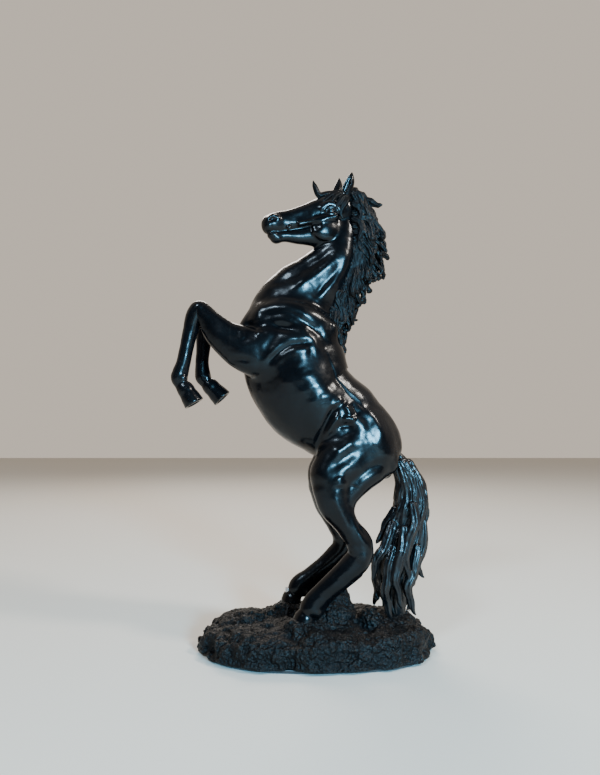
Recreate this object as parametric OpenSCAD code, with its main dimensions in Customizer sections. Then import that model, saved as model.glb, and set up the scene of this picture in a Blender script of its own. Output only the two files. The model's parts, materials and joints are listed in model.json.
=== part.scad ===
// Rearing horse statuette: cast in sections, doweled together, and bolted to a hollow rock base.
// Millimetres. Origin: centre of the base's footprint, on the surface it stands on.
// +Z up, the horse faces -X, and its left side faces -Y.

/* [Base] */
// Length of the rock base
base_l = 142; // [138:2:148]
// Depth of the rock base, front to back
base_w = 80; // [74:2:84]
// Height of the rock where the hooves meet it
base_h = 23; // [21:1:26]
// Thickness of the metal skin of the hollow base
base_wall = 4; // [3:0.5:5]
// Thickness of the felt pad
felt_t = 1.5; // [1:0.5:2]
// Depth of the lumps on the rock
lump_h = 1.2; // [0.5:0.1:2]

/* [Horse] */
// Wall thickness of the hollow trunk and neck
wall_t = 3; // [2.5:0.5:4]
// Turn of the head towards the left side
head_turn = 10; // [0:1:15]
// Length of each ear
ear_l = 13; // [10:1:15]
// Fullness of the mane
mane_bulk = 1.0; // [0.9:0.05:1.1]
// Fullness of the tail
tail_bulk = 1.0; // [0.9:0.05:1.1]

/* [Joints] */
// Diameter of the threaded studs
stud_d = 4; // [3:1:4]
// Width of the stud nuts across the flats
nut_af = 7; // [5.5:0.5:8]
// Outer diameter of the washers
washer_d = 9; // [8:0.5:10]
// Diameter of the limb dowels
dowel_d = 3; // [2:0.5:3]
// Length of the limb dowels
dowel_l = 14; // [10:1:16]
// Diameter of the cross pins and the mane pins
pin_d = 1.6; // [1.2:0.2:2]
// Running gap round every dowel, pin and stud
fit_gap = 0.15; // [0.1:0.05:0.3]

/* [Hidden] */

// ---- stations: [x, y, z, half depth, half width] -------------------------------------------------

// Spine, from the poll to the buttocks.
SPINE = [
    [19, 0, 268, 10.5, 7.8], [15.5, 0, 255.5, 12.2, 9.2], [10.5, 0, 244, 15.4, 10.4], [2, 0, 232, 19.6, 11.8],
    [-7.5, 0, 220.5, 24, 14.2], [-14, 0, 208, 27.4, 17.4], [-16, 0, 194, 31, 19.6], [-14.5, 0, 180, 32.2, 21.2],
    [-11, 0, 166, 31.4, 22.8], [-4, 0, 152.5, 29, 23.2], [8, 0, 143, 26.6, 22.4], [20, 0, 135.5, 25.4, 21],
    [31, 0, 126.5, 23.2, 19], [39.5, 0, 117, 18.8, 16], [45, 0, 108, 12, 11], [48, 0, 102.5, 4, 4]];
NECK_JOINT = 4;          // the station at which the neck casting meets the trunk
STEPS = 2;               // rings between two stations
SIDES = 20;              // points on a ring

// Limbs: [x, y, z, radius in x and z, radius in y].
FORE_L = [
    [-20, -12, 181, 13, 8.5], [-36, -15, 180, 12.8, 8.5], [-46, -15.8, 183.5, 10.8, 8.2], [-56, -16, 190, 9, 7.2],
    [-64, -16, 198, 7.2, 6.2], [-71.5, -16, 206.4, 6.1, 5.8], [-75.8, -16, 200.5, 5, 4.9], [-79, -16, 187, 3.8, 3.7],
    [-82, -16, 173.5, 3.9, 3.7], [-83.6, -16, 165.5, 4.9, 4.5], [-80.5, -16, 158.8, 4.2, 4], [-76.5, -16, 153, 4.9, 5]];
FORE_R = [
    [-20, 12, 182, 13, 8.5], [-36, 14, 182, 12.2, 8.4], [-46, 14.5, 186, 10.5, 8], [-56, 14.5, 193, 8.6, 7],
    [-64.4, 14.5, 200.6, 7, 6.1], [-70.4, 14.5, 205.1, 6, 5.7], [-73.2, 14.5, 198.6, 5, 4.8], [-74.3, 14.5, 186.3, 3.9, 3.8],
    [-74.6, 14.5, 174.7, 4.1, 3.9], [-74, 14.5, 168.7, 4.9, 4.6], [-70.3, 14.5, 163.4, 4.3, 4.1], [-65.8, 14.5, 158.6, 4.8, 5]];
HIND_L = [
    [33, -10, 123, 16, 9.5], [20, -13.5, 114.5, 17.5, 11], [10.5, -16.5, 103, 13.4, 11], [12.5, -17.8, 91, 10.8, 9.5],
    [18.5, -18, 78.5, 8.3, 7.4], [26, -18, 66.5, 7.6, 6.5], [24.5, -18, 59.5, 7.4, 6.2], [11.5, -18, 45.8, 6.4, 5.2],
    [0, -18, 34.3, 6, 5.3], [-3.8, -18, 29.4, 6.2, 5.6], [-6.8, -18, 22, 5.4, 5.2]];
HIND_R = [
    [32, 10, 123, 16, 9.5], [19, 13.5, 114, 17.2, 11], [9, 15, 101.5, 13, 10.6], [10, 15.3, 89.5, 10.4, 9.2],
    [14, 15.5, 76.5, 8, 7.1], [18.6, 15.5, 65, 7.2, 6.4], [15.8, 15.5, 59.3, 6.8, 6], [2, 15.5, 47.3, 5.6, 4.9],
    [-9, 15.5, 37.4, 5.6, 5.1], [-12.3, 15.5, 32.4, 6, 5.4], [-15.3, 15.5, 25, 5.1, 5]];

// Hooves: [toe, heel, coronet front, coronet back, y, half width]
HOOF_FL = [[-77.8, 144.6], [-70, 154.2], [-82.3, 158], [-74.8, 161.4], -16, 5.7];
HOOF_FR = [[-64, 147.7], [-57.4, 160], [-73, 159.3], [-66.2, 165.8], 14.5, 5.5];
HOOF_HL = [[-16.5, 13], [-2.4, 13], [-12.8, 21.4], [-2.6, 22.4], -18, 6.6];
HOOF_HR = [[-25, 15], [-11, 15], [-21, 23.8], [-10.8, 25], 15.5, 6.4];

// Mane and tail: [x, y, z, radius in x and z, radius in y].
MANE = [
    [24, 1, 286, 7, 6.5], [32, 2, 277, 8.5, 7.5], [36.5, 3, 264, 9, 8.5], [37, 3.5, 250.5, 9, 8.5],
    [32, 4, 239, 9.5, 9], [26, 4, 227, 9.5, 9], [20, 4, 215, 9.5, 8.5], [16.5, 4, 203, 8.5, 8],
    [14.5, 4, 191, 6.5, 7], [14.5, 4, 180, 3.8, 4.5], [16, 4, 174.5, 1.8, 2]];
FORELOCK = [[22, 0, 289, 3, 3.5], [15, -1, 289.5, 3.2, 4], [8.5, -3, 287.5, 2.6, 3.4], [3.5, -4, 288.5, 1.9, 2.2], [1.2, -4.5, 293, 1.1, 1.2], [0.8, -4.5, 296.5, 0.5, 0.5]];
TAIL = [
    [50, 0, 116, 5, 5], [56, 0.5, 109.5, 6.5, 6], [60.5, 1.5, 98, 9, 7.5], [60, 2, 87, 11.5, 9],
    [57.5, 2, 76, 12.5, 10], [53.5, 3, 64.5, 12.6, 10.5], [50.5, 3, 53, 12.4, 10.5], [48, 3, 42, 11.6, 10],
    [47.5, 3, 31.5, 10.6, 9], [48.5, 3, 22.5, 8.6, 7.5], [50.5, 3, 16, 6, 6]];

FORE_CUT = [[-52, 0, 190], [-1, 0, 0]];         // joint plane of both forelegs: point, direction
HIND_CUT = [[14, 0, 88.5], [0.25, 0, -0.97]];   // joint plane of both hind legs

// ---- shapes --------------------------------------------------------------------------------------

function unit(v) = v / norm(v);
function spline(a, b, c, d, t) = 0.5 * (2 * b + (c - a) * t + (2 * a - 5 * b + 4 * c - d) * t * t + (3 * b - a - 3 * c + d) * t * t * t);
function refine(p, n) = [for (i = [0:len(p) - 2]) for (j = [0:n - 1])
    spline(p[max(i - 1, 0)], p[i], p[i + 1], p[min(i + 2, len(p) - 1)], j / n), p[len(p) - 1]];
function at(p) = [p[0], p[1], p[2]];
function along(p, i) = unit(at(p[min(i + 1, len(p) - 1)]) - at(p[max(i - 1, 0)]));
function across(p, i) = let (t = along(p, i)) unit([-t[2], 0, t[0]]);
// The ring at station i, shrunk by s on both radii.
function ring(p, i, s = 0) = let (u = across(p, i)) [for (k = [0:SIDES - 1]) let (a = 360 * k / SIDES)
    at(p[i]) + max(p[i][3] - s, 0.6) * cos(a) * u + max(p[i][4] - s, 0.6) * sin(a) * [0, 1, 0]];

// A closed solid over a list of rings that all have n points.
module skin(rings) {
    n = len(rings[0]);
    m = len(rings);
    sides = [for (i = [0:m - 2]) for (k = [0:n - 1]) let (a = i * n + k, b = i * n + (k + 1) % n)
        each [[a, b, b + n], [a, b + n, a + n]]];
    polyhedron(concat([for (r = rings) each r]),
        concat(sides, [[for (k = [n - 1:-1:0]) k]], [[for (k = [0:n - 1]) (m - 1) * n + k]]));
}

// One ellipsoid of a limb or a lock.
module bead(s, f = 14, turn = 0) translate(at(s)) scale([1, s[4] / s[3], 1]) rotate([0, turn, 0]) rotate([90, 0, 0]) sphere(s[3], $fn = f);

// Beads joined in order. Each length is turned and grown a little from the last, so that no facets coincide.
module chain(p, f = 14) for (i = [0:len(p) - 2]) hull() for (j = [i, i + 1])
    bead([p[j][0], p[j][1], p[j][2], p[j][3] * (1 + i % 2 * 0.012), p[j][4] * (1 + i % 2 * 0.008)], f, i * 11 + 3);

// Everything beyond a joint plane, up to reach.
module beyond(cut, reach = 200) translate(cut[0]) rotate([0, acos(cut[1][2] / norm(cut[1])), atan2(cut[1][1], cut[1][0])])
    translate([-reach / 2, -reach / 2, 0]) cube(reach);

module peg(centre, dir, d, l) translate(centre) rotate([0, acos(dir[2] / norm(dir)), atan2(dir[1], dir[0])])
    cylinder(d = d, h = l, center = true, $fn = 24);

// A hoof: a block that narrows from the ground face to the coronet.
module hoof(h) {
    y = h[4];
    w = h[5];
    hull() {
        for (p = [h[0], h[1]]) let (q = p * 0.86 + (h[0] + h[1]) / 2 * 0.14)
            translate([q[0], y, q[1]]) scale([1, p == h[0] ? w / 2.4 * 0.8 : w / 2.4, 1]) rotate([90, 0, 0]) sphere(2.4, $fn = 12);
        for (p = [h[2], h[3]]) let (q = p * 0.8 + (h[2] + h[3]) / 2 * 0.2)
            translate([q[0], y, q[1]]) scale([1, w / 2 * 0.75, 1]) rotate([90, 0, 0]) sphere(2, $fn = 12);
    }
}

module foreleg(side) { chain(side < 0 ? FORE_L : FORE_R, 12); hoof(side < 0 ? HOOF_FL : HOOF_FR); }
module hindleg(side) { chain(side < 0 ? HIND_L : HIND_R, 12); hoof(side < 0 ? HOOF_HL : HOOF_HR); }

RINGS = refine(SPINE, STEPS);
JOINT = NECK_JOINT * STEPS;
LAST = len(RINGS) - 1;

module trunk_form() skin([for (i = [JOINT:LAST]) ring(RINGS, i)]);
module neck_form() skin([for (i = [0:JOINT]) ring(RINGS, i)]);
// The hollow of the trunk and the neck, carried straight through the plane of the joint.
module core(a, b) skin([for (i = [a:b]) if (i != JOINT) ring(RINGS, i, wall_t)]);

JOINT_AT = at(RINGS[JOINT]);
JOINT_DIR = along(RINGS, JOINT);

// ---- head ----------------------------------------------------------------------------------------

HEAD_PIVOT = [19, 0, 280];
module head_form() translate(HEAD_PIVOT) rotate([0, 0, head_turn]) translate(-HEAD_PIVOT) {
    // skull and cheeks
    hull() { bead([13, 0, 277, 10.5, 8.5]); bead([19, 0, 279, 9.5, 7.5]); bead([4, 0, 276, 9, 8]); }
    hull() { bead([11, 0, 267, 11, 7]); bead([3, 0, 268, 10, 6.8]); }
    // face, down to the muzzle
    hull() { bead([3, 0, 275, 9, 7]); bead([-12, 0, 270, 8.4, 5.6]); }
    hull() { bead([-12, 0, 270, 8.5, 5.7], 14, 9); bead([-23, 0, 267, 7.7, 5.1], 14, 9); }
    hull() { bead([-22.8, 0, 267.5, 7.4, 5]); bead([-27.5, 0, 266, 6.6, 5.6]); }
    // lower jaw and chin
    hull() { bead([3, 0, 265, 8, 5]); bead([-14, 0, 261, 4.6, 4]); }
    hull() { bead([-14, 0, 261, 4.7, 4.1], 14, 8); bead([-25.5, 0, 259.3, 3.6, 3.6], 14, 8); }
    // ears
    for (s = [-1, 1]) hull() {
        bead([21.5 + (s > 0 ? -5 : 0), s * 5, 287, 3.2, 2.6]);
        translate([24 + (s > 0 ? -6 : 0), s * 6.6, 287 + ear_l * 0.55]) sphere(2, $fn = 12);
        translate([24.5 + (s > 0 ? -7 : 0), s * 7, 287 + ear_l - 0.7]) sphere(0.7, $fn = 12);
    }
}

// ---- rock base -----------------------------------------------------------------------------------

ROCK_SIDES = 44;
// Profile of the rock: [share of the footprint, height above the felt as a share of base_h - felt_t]
PROFILE = [[0.93, 0], [0.985, 0.14], [1, 0.36], [0.985, 0.58], [0.92, 0.8], [0.78, 0.95], [0.5, 1.02], [0.2, 1.05]];
function sgn(v) = v < 0 ? -1 : 1;
function lump(a, j) = sin(a * 5 + j * 97) * 0.5 + sin(a * 11 - j * 61) * 0.5 + sin(a * 17 + j * 151) * 0.35;
function rock_ring(j, s = 0, k = 1) = let (w = PROFILE[j][0], z = felt_t + (base_h - felt_t) * PROFILE[j][1]) [for (i = [0:ROCK_SIDES - 1])
    let (a = -360 * i / ROCK_SIDES, c = cos(a), q = sin(a), n = lump_h * lump(a, j))
    [(base_l / 2 - s + (j > 0 ? n * k : 0) - 1.3) * w * sgn(c) * pow(abs(c), 0.82), (base_w / 2 - s + (j > 0 ? n * k : 0) - 1.3) * w * sgn(q) * pow(abs(q), 0.82),
        j == 0 ? z : z + n * 0.5 * k - s * (j > 3 ? 1 : 0)]];
module rock_form() {
    skin([for (j = [0:len(PROFILE) - 1]) rock_ring(j)]);
    // the spur of rock between the hind legs
    hull() { translate([8, 0, 18]) scale([1.5, 1.0, 1]) sphere(11, $fn = 16); translate([11, 0, 31]) scale([1.3, 1, 1]) sphere(6, $fn = 14); }
}
STUDS = [[-7.5, -18], [-17, 15], [50, 3]];   // where the left hind hoof, the right hind hoof and the tail are bolted
STUD_TOP = [31, 33, 34];
SEAT = base_h - base_wall - 5;               // height of the faces the washers bear on

module stud(i) translate([STUDS[i][0], STUDS[i][1], SEAT - 6]) cylinder(d = stud_d, h = STUD_TOP[i] - SEAT + 6, $fn = 24);
module stud_hole(i) translate([STUDS[i][0], STUDS[i][1], 0]) cylinder(d = stud_d + 2 * fit_gap, h = STUD_TOP[i] + 0.5, $fn = 24);

module bronze() color([0.055, 0.06, 0.075]) children();

// ---- nodes ---------------------------------------------------------------------------------------

module torso_casting() bronze() difference() {
    union() { trunk_form(); for (s = [-1, 1]) { foreleg(s); hindleg(s); } }
    beyond(FORE_CUT);
    beyond(HIND_CUT);
    core(JOINT - 2, LAST - 2);
    limb_dowels(2 * fit_gap, 1);
    peg(TAIL_PEG[0], TAIL_PEG[1], dowel_d - 0.5 + 2 * fit_gap, 13);
    neck_pins(2 * fit_gap);
}

module neck_and_head_casting() bronze() difference() {
    union() { neck_form(); head_form(); }
    core(2, JOINT + 2);
    neck_pins(2 * fit_gap);
    mane_pegs(2 * fit_gap);
    forelock_peg(2 * fit_gap);
}

module mane_casting() bronze() difference() {
    chain([for (s = MANE) [s[0], s[1], s[2], s[3] * mane_bulk, s[4] * mane_bulk]], 12);
    neck_form();
    head_form();
    trunk_form();
    mane_pegs(2 * fit_gap);
}

module forelock_casting() bronze() difference() {
    chain(FORELOCK, 12);
    head_form();
    neck_form();
    chain([for (s = MANE) [s[0], s[1], s[2], s[3] * mane_bulk + 0.2, s[4] * mane_bulk + 0.2]], 12);
    forelock_peg(2 * fit_gap);
}

module limb_dowels(g = 0, which = 0) {
    for (s = [-1, 1]) { fore_dowel(s, g); hind_dowel(s, g); }
}
module fore_dowel(s, g = 0) peg([-52, s * 15.2, s < 0 ? 189 : 192], FORE_CUT[1], dowel_d + g, dowel_l + g);
module hind_dowel(s, g = 0) peg([s < 0 ? 14.5 : 10.8, s * 16.5, 88.5], [0.4, 0, -0.9], dowel_d + g, dowel_l + g);

module left_foreleg_casting() bronze() difference() {
    intersection() { foreleg(-1); beyond(FORE_CUT); }
    fore_dowel(-1, 2 * fit_gap);
}
module right_foreleg_casting() bronze() difference() {
    intersection() { foreleg(1); beyond(FORE_CUT); }
    fore_dowel(1, 2 * fit_gap);
}
module left_hind_leg_casting() bronze() difference() {
    intersection() { hindleg(-1); beyond(HIND_CUT); }
    hind_dowel(-1, 2 * fit_gap);
    rock_form();
    stud_hole(0);
}
module right_hind_leg_casting() bronze() difference() {
    intersection() { hindleg(1); beyond(HIND_CUT); }
    hind_dowel(1, 2 * fit_gap);
    rock_form();
    stud_hole(1);
}

TAIL_PEG = [[52, 0.2, 114], [0.72, 0, -0.69]];
module tail_casting() bronze() difference() {
    chain([for (s = TAIL) [s[0], s[1], s[2], s[3] * tail_bulk, s[4] * tail_bulk]], 12);
    trunk_form();
    for (s = [-1, 1]) hindleg(s);
    rock_form();
    peg(TAIL_PEG[0], TAIL_PEG[1], dowel_d - 0.5 + 2 * fit_gap, 13);
    stud_hole(2);
}

module rock_base_casting() bronze() difference() {
    rock_form();
    difference() {
        skin([for (j = [0:len(PROFILE) - 1]) let (r = rock_ring(j, base_wall, 0)) j == 0 ? [for (p = r) [p[0], p[1], -1]] : r]);
        for (i = [0:2]) translate([STUDS[i][0], STUDS[i][1], SEAT]) cylinder(d = washer_d + 5, h = 40, $fn = 32);
    }
    for (i = [0:2]) stud_hole(i);
}

module felt_base_pad() color([0.03, 0.03, 0.035]) linear_extrude(felt_t)
    polygon([for (p = rock_ring(0, 1.5, 0)) [p[0], p[1]]]);

// The joint of the neck: an oval sleeve that bridges both hollows, held by two cross pins.
SLEEVE_R = [17.5, 8.4];
module neck_frame() translate(JOINT_AT) rotate([0, acos(JOINT_DIR[2]), atan2(JOINT_DIR[1], JOINT_DIR[0])]) children();
module neck_joint_sleeve() color([0.55, 0.4, 0.2]) difference() {
    neck_frame() difference() {
        linear_extrude(18, center = true) scale([1, SLEEVE_R[1] / SLEEVE_R[0], 1]) circle(SLEEVE_R[0], $fn = 48);
        linear_extrude(20, center = true) scale([1, (SLEEVE_R[1] - 2) / (SLEEVE_R[0] - 2), 1]) circle(SLEEVE_R[0] - 2, $fn = 48);
    }
    neck_pins(2 * fit_gap);
}
module neck_pins(g = 0) neck_frame() for (z = [-5, 5]) translate([z * 0.9, 0, z]) rotate([90, 0, 0]) cylinder(d = pin_d + g, h = 25 + g, center = true, $fn = 24);
module neck_joint_pins() color([0.6, 0.45, 0.25]) neck_pins();

module left_foreleg_dowel() color([0.6, 0.45, 0.25]) fore_dowel(-1);
module right_foreleg_dowel() color([0.6, 0.45, 0.25]) fore_dowel(1);
module left_hind_leg_dowel() color([0.6, 0.45, 0.25]) hind_dowel(-1);
module right_hind_leg_dowel() color([0.6, 0.45, 0.25]) hind_dowel(1);
module tail_dowel() color([0.6, 0.45, 0.25]) peg(TAIL_PEG[0], TAIL_PEG[1], dowel_d - 0.5, 12);

module mane_pegs(g = 0) {
    peg([30.5, 1.5, 266], [1, 0, 0.1], pin_d + g, 8 + g);
    peg([27.5, 1.5, 246], [1, 0, -0.3], pin_d + g, 8 + g);
    peg([18.5, 1.5, 226], [1, 0, -0.45], pin_d + g, 8 + g);
}
module mane_pins() color([0.6, 0.45, 0.25]) mane_pegs();
module forelock_peg(g = 0) peg([14, -0.5, 287.6], [0, 0, 1], 1.2 + g, 4 + g);
module forelock_pin() color([0.6, 0.45, 0.25]) forelock_peg();

module left_hoof_stud() color("silver") stud(0);
module right_hoof_stud() color("silver") stud(1);
module tail_stud() color("silver") stud(2);
module stud_washers() color("silver") for (i = [0:2]) translate([STUDS[i][0], STUDS[i][1], SEAT - 0.8]) difference() {
    cylinder(d = washer_d, h = 0.8, $fn = 32);
    translate([0, 0, -1]) cylinder(d = stud_d + 0.3, h = 3, $fn = 32);
}
module stud_nuts() color("silver") for (i = [0:2]) translate([STUDS[i][0], STUDS[i][1], SEAT - 0.8 - 3.2]) difference() {
    cylinder(d = nut_af / cos(30), h = 3.2, $fn = 6);
    translate([0, 0, -1]) cylinder(d = stud_d + 0.06, h = 6, $fn = 32);
}

torso_casting();
neck_and_head_casting();
mane_casting();
forelock_casting();
left_foreleg_casting();
right_foreleg_casting();
left_hind_leg_casting();
right_hind_leg_casting();
tail_casting();
rock_base_casting();
felt_base_pad();
neck_joint_sleeve();
neck_joint_pins();
left_foreleg_dowel();
right_foreleg_dowel();
left_hind_leg_dowel();
right_hind_leg_dowel();
tail_dowel();
mane_pins();
forelock_pin();
left_hoof_stud();
right_hoof_stud();
tail_stud();
stud_washers();
stud_nuts();
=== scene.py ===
import json
import math
import bpy
import bmesh
import numpy as np
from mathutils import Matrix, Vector

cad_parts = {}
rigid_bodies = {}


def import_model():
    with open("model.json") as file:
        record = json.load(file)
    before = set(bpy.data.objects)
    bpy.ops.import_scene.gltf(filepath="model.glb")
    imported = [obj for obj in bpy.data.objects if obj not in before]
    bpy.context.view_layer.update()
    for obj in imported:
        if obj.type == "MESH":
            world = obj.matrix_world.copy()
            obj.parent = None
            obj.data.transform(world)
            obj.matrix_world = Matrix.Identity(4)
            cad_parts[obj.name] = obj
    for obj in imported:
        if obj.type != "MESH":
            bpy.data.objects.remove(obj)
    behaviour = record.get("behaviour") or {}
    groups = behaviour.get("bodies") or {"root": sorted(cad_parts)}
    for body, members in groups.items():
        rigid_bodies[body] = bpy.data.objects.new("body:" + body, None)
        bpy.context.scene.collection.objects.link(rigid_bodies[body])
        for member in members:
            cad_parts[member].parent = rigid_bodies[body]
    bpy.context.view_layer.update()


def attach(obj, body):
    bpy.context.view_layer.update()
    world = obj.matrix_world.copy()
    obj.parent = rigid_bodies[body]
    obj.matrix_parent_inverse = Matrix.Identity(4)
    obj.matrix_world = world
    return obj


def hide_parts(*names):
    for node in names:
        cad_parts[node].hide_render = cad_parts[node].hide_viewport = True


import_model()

FINE = 1.0          # 1 for the finished meshes, more for a rough look

# ---------------------------------------------------------------- fields
f32 = np.float32


class Grid:
    def __init__(self, lo, hi, h):
        h = h * FINE
        self.lo = np.array(lo, float)
        self.h = h
        self.n = np.ceil((np.array(hi, float) - self.lo) / h).astype(int) + 1
        self.F = np.full(tuple(self.n), 12.0, f32)

    def window(self, lo, hi):
        a = np.clip(np.floor((np.array(lo) - self.lo) / self.h).astype(int), 0, self.n)
        b = np.clip(np.ceil((np.array(hi) - self.lo) / self.h).astype(int) + 1, 0, self.n)
        if np.any(b - a < 1):
            return None
        return tuple(slice(int(p), int(q)) for p, q in zip(a, b))

    def axes(self, w):
        out = []
        for i in range(3):
            shape = [1, 1, 1]
            shape[i] = -1
            v = (self.lo[i] + self.h * np.arange(w[i].start, w[i].stop)).astype(f32)
            out.append(v.reshape(shape))
        return out

    def sample(self, P, F=None):
        F = self.F if F is None else F
        q = (P - self.lo) / self.h
        q = np.clip(q, 0.001, np.array(F.shape) - 1.001)
        i = np.floor(q).astype(np.int64)
        t = q - i
        out = 0.0
        for dx in (0, 1):
            for dy in (0, 1):
                for dz in (0, 1):
                    wt = (t[:, 0] if dx else 1 - t[:, 0]) * (t[:, 1] if dy else 1 - t[:, 1]) * (t[:, 2] if dz else 1 - t[:, 2])
                    out = out + wt * F[i[:, 0] + dx, i[:, 1] + dy, i[:, 2] + dz]
        return out

    def gradient(self, P):
        g = np.zeros_like(P)
        for a in range(3):
            d = np.zeros(3)
            d[a] = self.h * 0.6
            g[:, a] = (self.sample(P + d) - self.sample(P - d)) / (1.2 * self.h)
        return g


def smin(a, b, k):
    if k <= 0:
        return np.minimum(a, b)
    h = np.maximum(k - np.abs(a - b), 0) / k
    return np.minimum(a, b) - h * h * (k * 0.25)


def smax(a, b, k):
    return -smin(-a, -b, k)


def unit(v):
    v = np.asarray(v, float)
    return v / max(np.linalg.norm(v), 1e-9)


def catmull(P, n):
    P = np.asarray(P, float)
    out = []
    m = len(P)
    for i in range(m - 1):
        a, b, c, d = P[max(i - 1, 0)], P[i], P[i + 1], P[min(i + 2, m - 1)]
        for j in range(n):
            t = j / n
            out.append(0.5 * (2 * b + (c - a) * t + (2 * a - 5 * b + 4 * c - d) * t * t + (3 * b - a - 3 * c + d) * t ** 3))
    out.append(P[-1])
    return np.array(out)


def plane_sweep(grid, stations, k=2.0, cut=False, pad=3.0, into=None, n=8):
    """An elliptical sweep whose smooth axis lies near an X-Z plane: each column finds its own nearest point of it."""
    P = np.asarray(stations, float).copy()
    P[:, 3:5] = np.maximum(P[:, 3:5], 0.15)
    m = len(P)
    lo = np.maximum(np.arange(m - 1) - 1, 0)
    hi = np.minimum(np.arange(m - 1) + 2, m - 1)
    a, b, c, d = P[lo], P[:-1], P[1:], P[hi]
    C = [b, 0.5 * (c - a), 0.5 * (2 * a - 5 * b + 4 * c - d), 0.5 * (3 * b - a - 3 * c + d)]

    def ev(u):
        i = np.clip(np.floor(u).astype(int), 0, m - 2)
        t = (u - i)[..., None]
        c0, c1, c2, c3 = [q[i] for q in C]
        return c0 + t * (c1 + t * (c2 + t * c3)), c1 + t * (2 * c2 + t * 3 * c3), 2 * c2 + 6 * t * c3

    R = P[:, 3:5].max() + pad
    W = grid.window(P[:, :3].min(0) - R, P[:, :3].max(0) + R)
    if W is None:
        return
    X, Y, Z = grid.axes(W)
    qx, qz = np.meshgrid(X.ravel().astype(float), Z.ravel().astype(float), indexing="ij")
    U = np.linspace(0, m - 1, (m - 1) * n + 1)
    S = ev(U)[0]
    best = np.full(qx.shape, 1e9)
    bu = np.zeros(qx.shape)
    for i in range(len(U) - 1):
        dx, dz = S[i + 1, 0] - S[i, 0], S[i + 1, 2] - S[i, 2]
        l2 = max(dx * dx + dz * dz, 1e-9)
        ux, uz = qx - S[i, 0], qz - S[i, 2]
        t = np.clip((ux * dx + uz * dz) / l2, 0, 1)
        q = (ux - t * dx) ** 2 + (uz - t * dz) ** 2
        g = q < best
        best[g] = q[g]
        bu[g] = (U[i] + t * (U[i + 1] - U[i]))[g]
    for _ in range(3):
        p, d1, d2 = ev(bu)
        ex, ez = p[..., 0] - qx, p[..., 2] - qz
        num = ex * d1[..., 0] + ez * d1[..., 2]
        sp = d1[..., 0] ** 2 + d1[..., 2] ** 2 + 1e-9
        den = np.maximum(sp + ex * d2[..., 0] + ez * d2[..., 2], 0.35 * sp)
        bu = np.clip(bu - np.clip(num / den, -0.3, 0.3), 0, m - 1)
    p, d1, _d = ev(bu)
    ex, ez = qx - p[..., 0], qz - p[..., 2]
    sp = np.sqrt(d1[..., 0] ** 2 + d1[..., 2] ** 2) + 1e-9
    ax = (ex * d1[..., 0] + ez * d1[..., 2]) / sp
    dist = np.sqrt(ex * ex + ez * ez)
    end = (bu <= 1e-6) | (bu >= m - 1 - 1e-6)
    over = np.where(end, ax, 0.0)
    side = np.sqrt(np.maximum(dist * dist - over * over, 0))
    A, Bv, yc = p[..., 3], p[..., 4], p[..., 1]
    Cm = np.minimum(A, Bv)

    def col(v):
        return v.astype(f32)[:, None, :]
    iu2, io2 = col((side / A) ** 2 + (over / Cm) ** 2), col((side / A ** 2) ** 2 + (over / Cm ** 2) ** 2)
    iv = (Y - col(yc)) / col(Bv)
    k0 = np.sqrt(iu2 + iv * iv)
    k1 = np.sqrt(io2 + (iv / col(Bv)) ** 2) + f32(1e-6)
    T = np.minimum(k0 * (k0 - 1) / k1, f32(12))
    if into is not None:
        into[W] = np.minimum(into[W], T)
    elif cut:
        grid.F[W] = smax(grid.F[W], -T, k)
    else:
        grid.F[W] = smin(grid.F[W], T, k)


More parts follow.
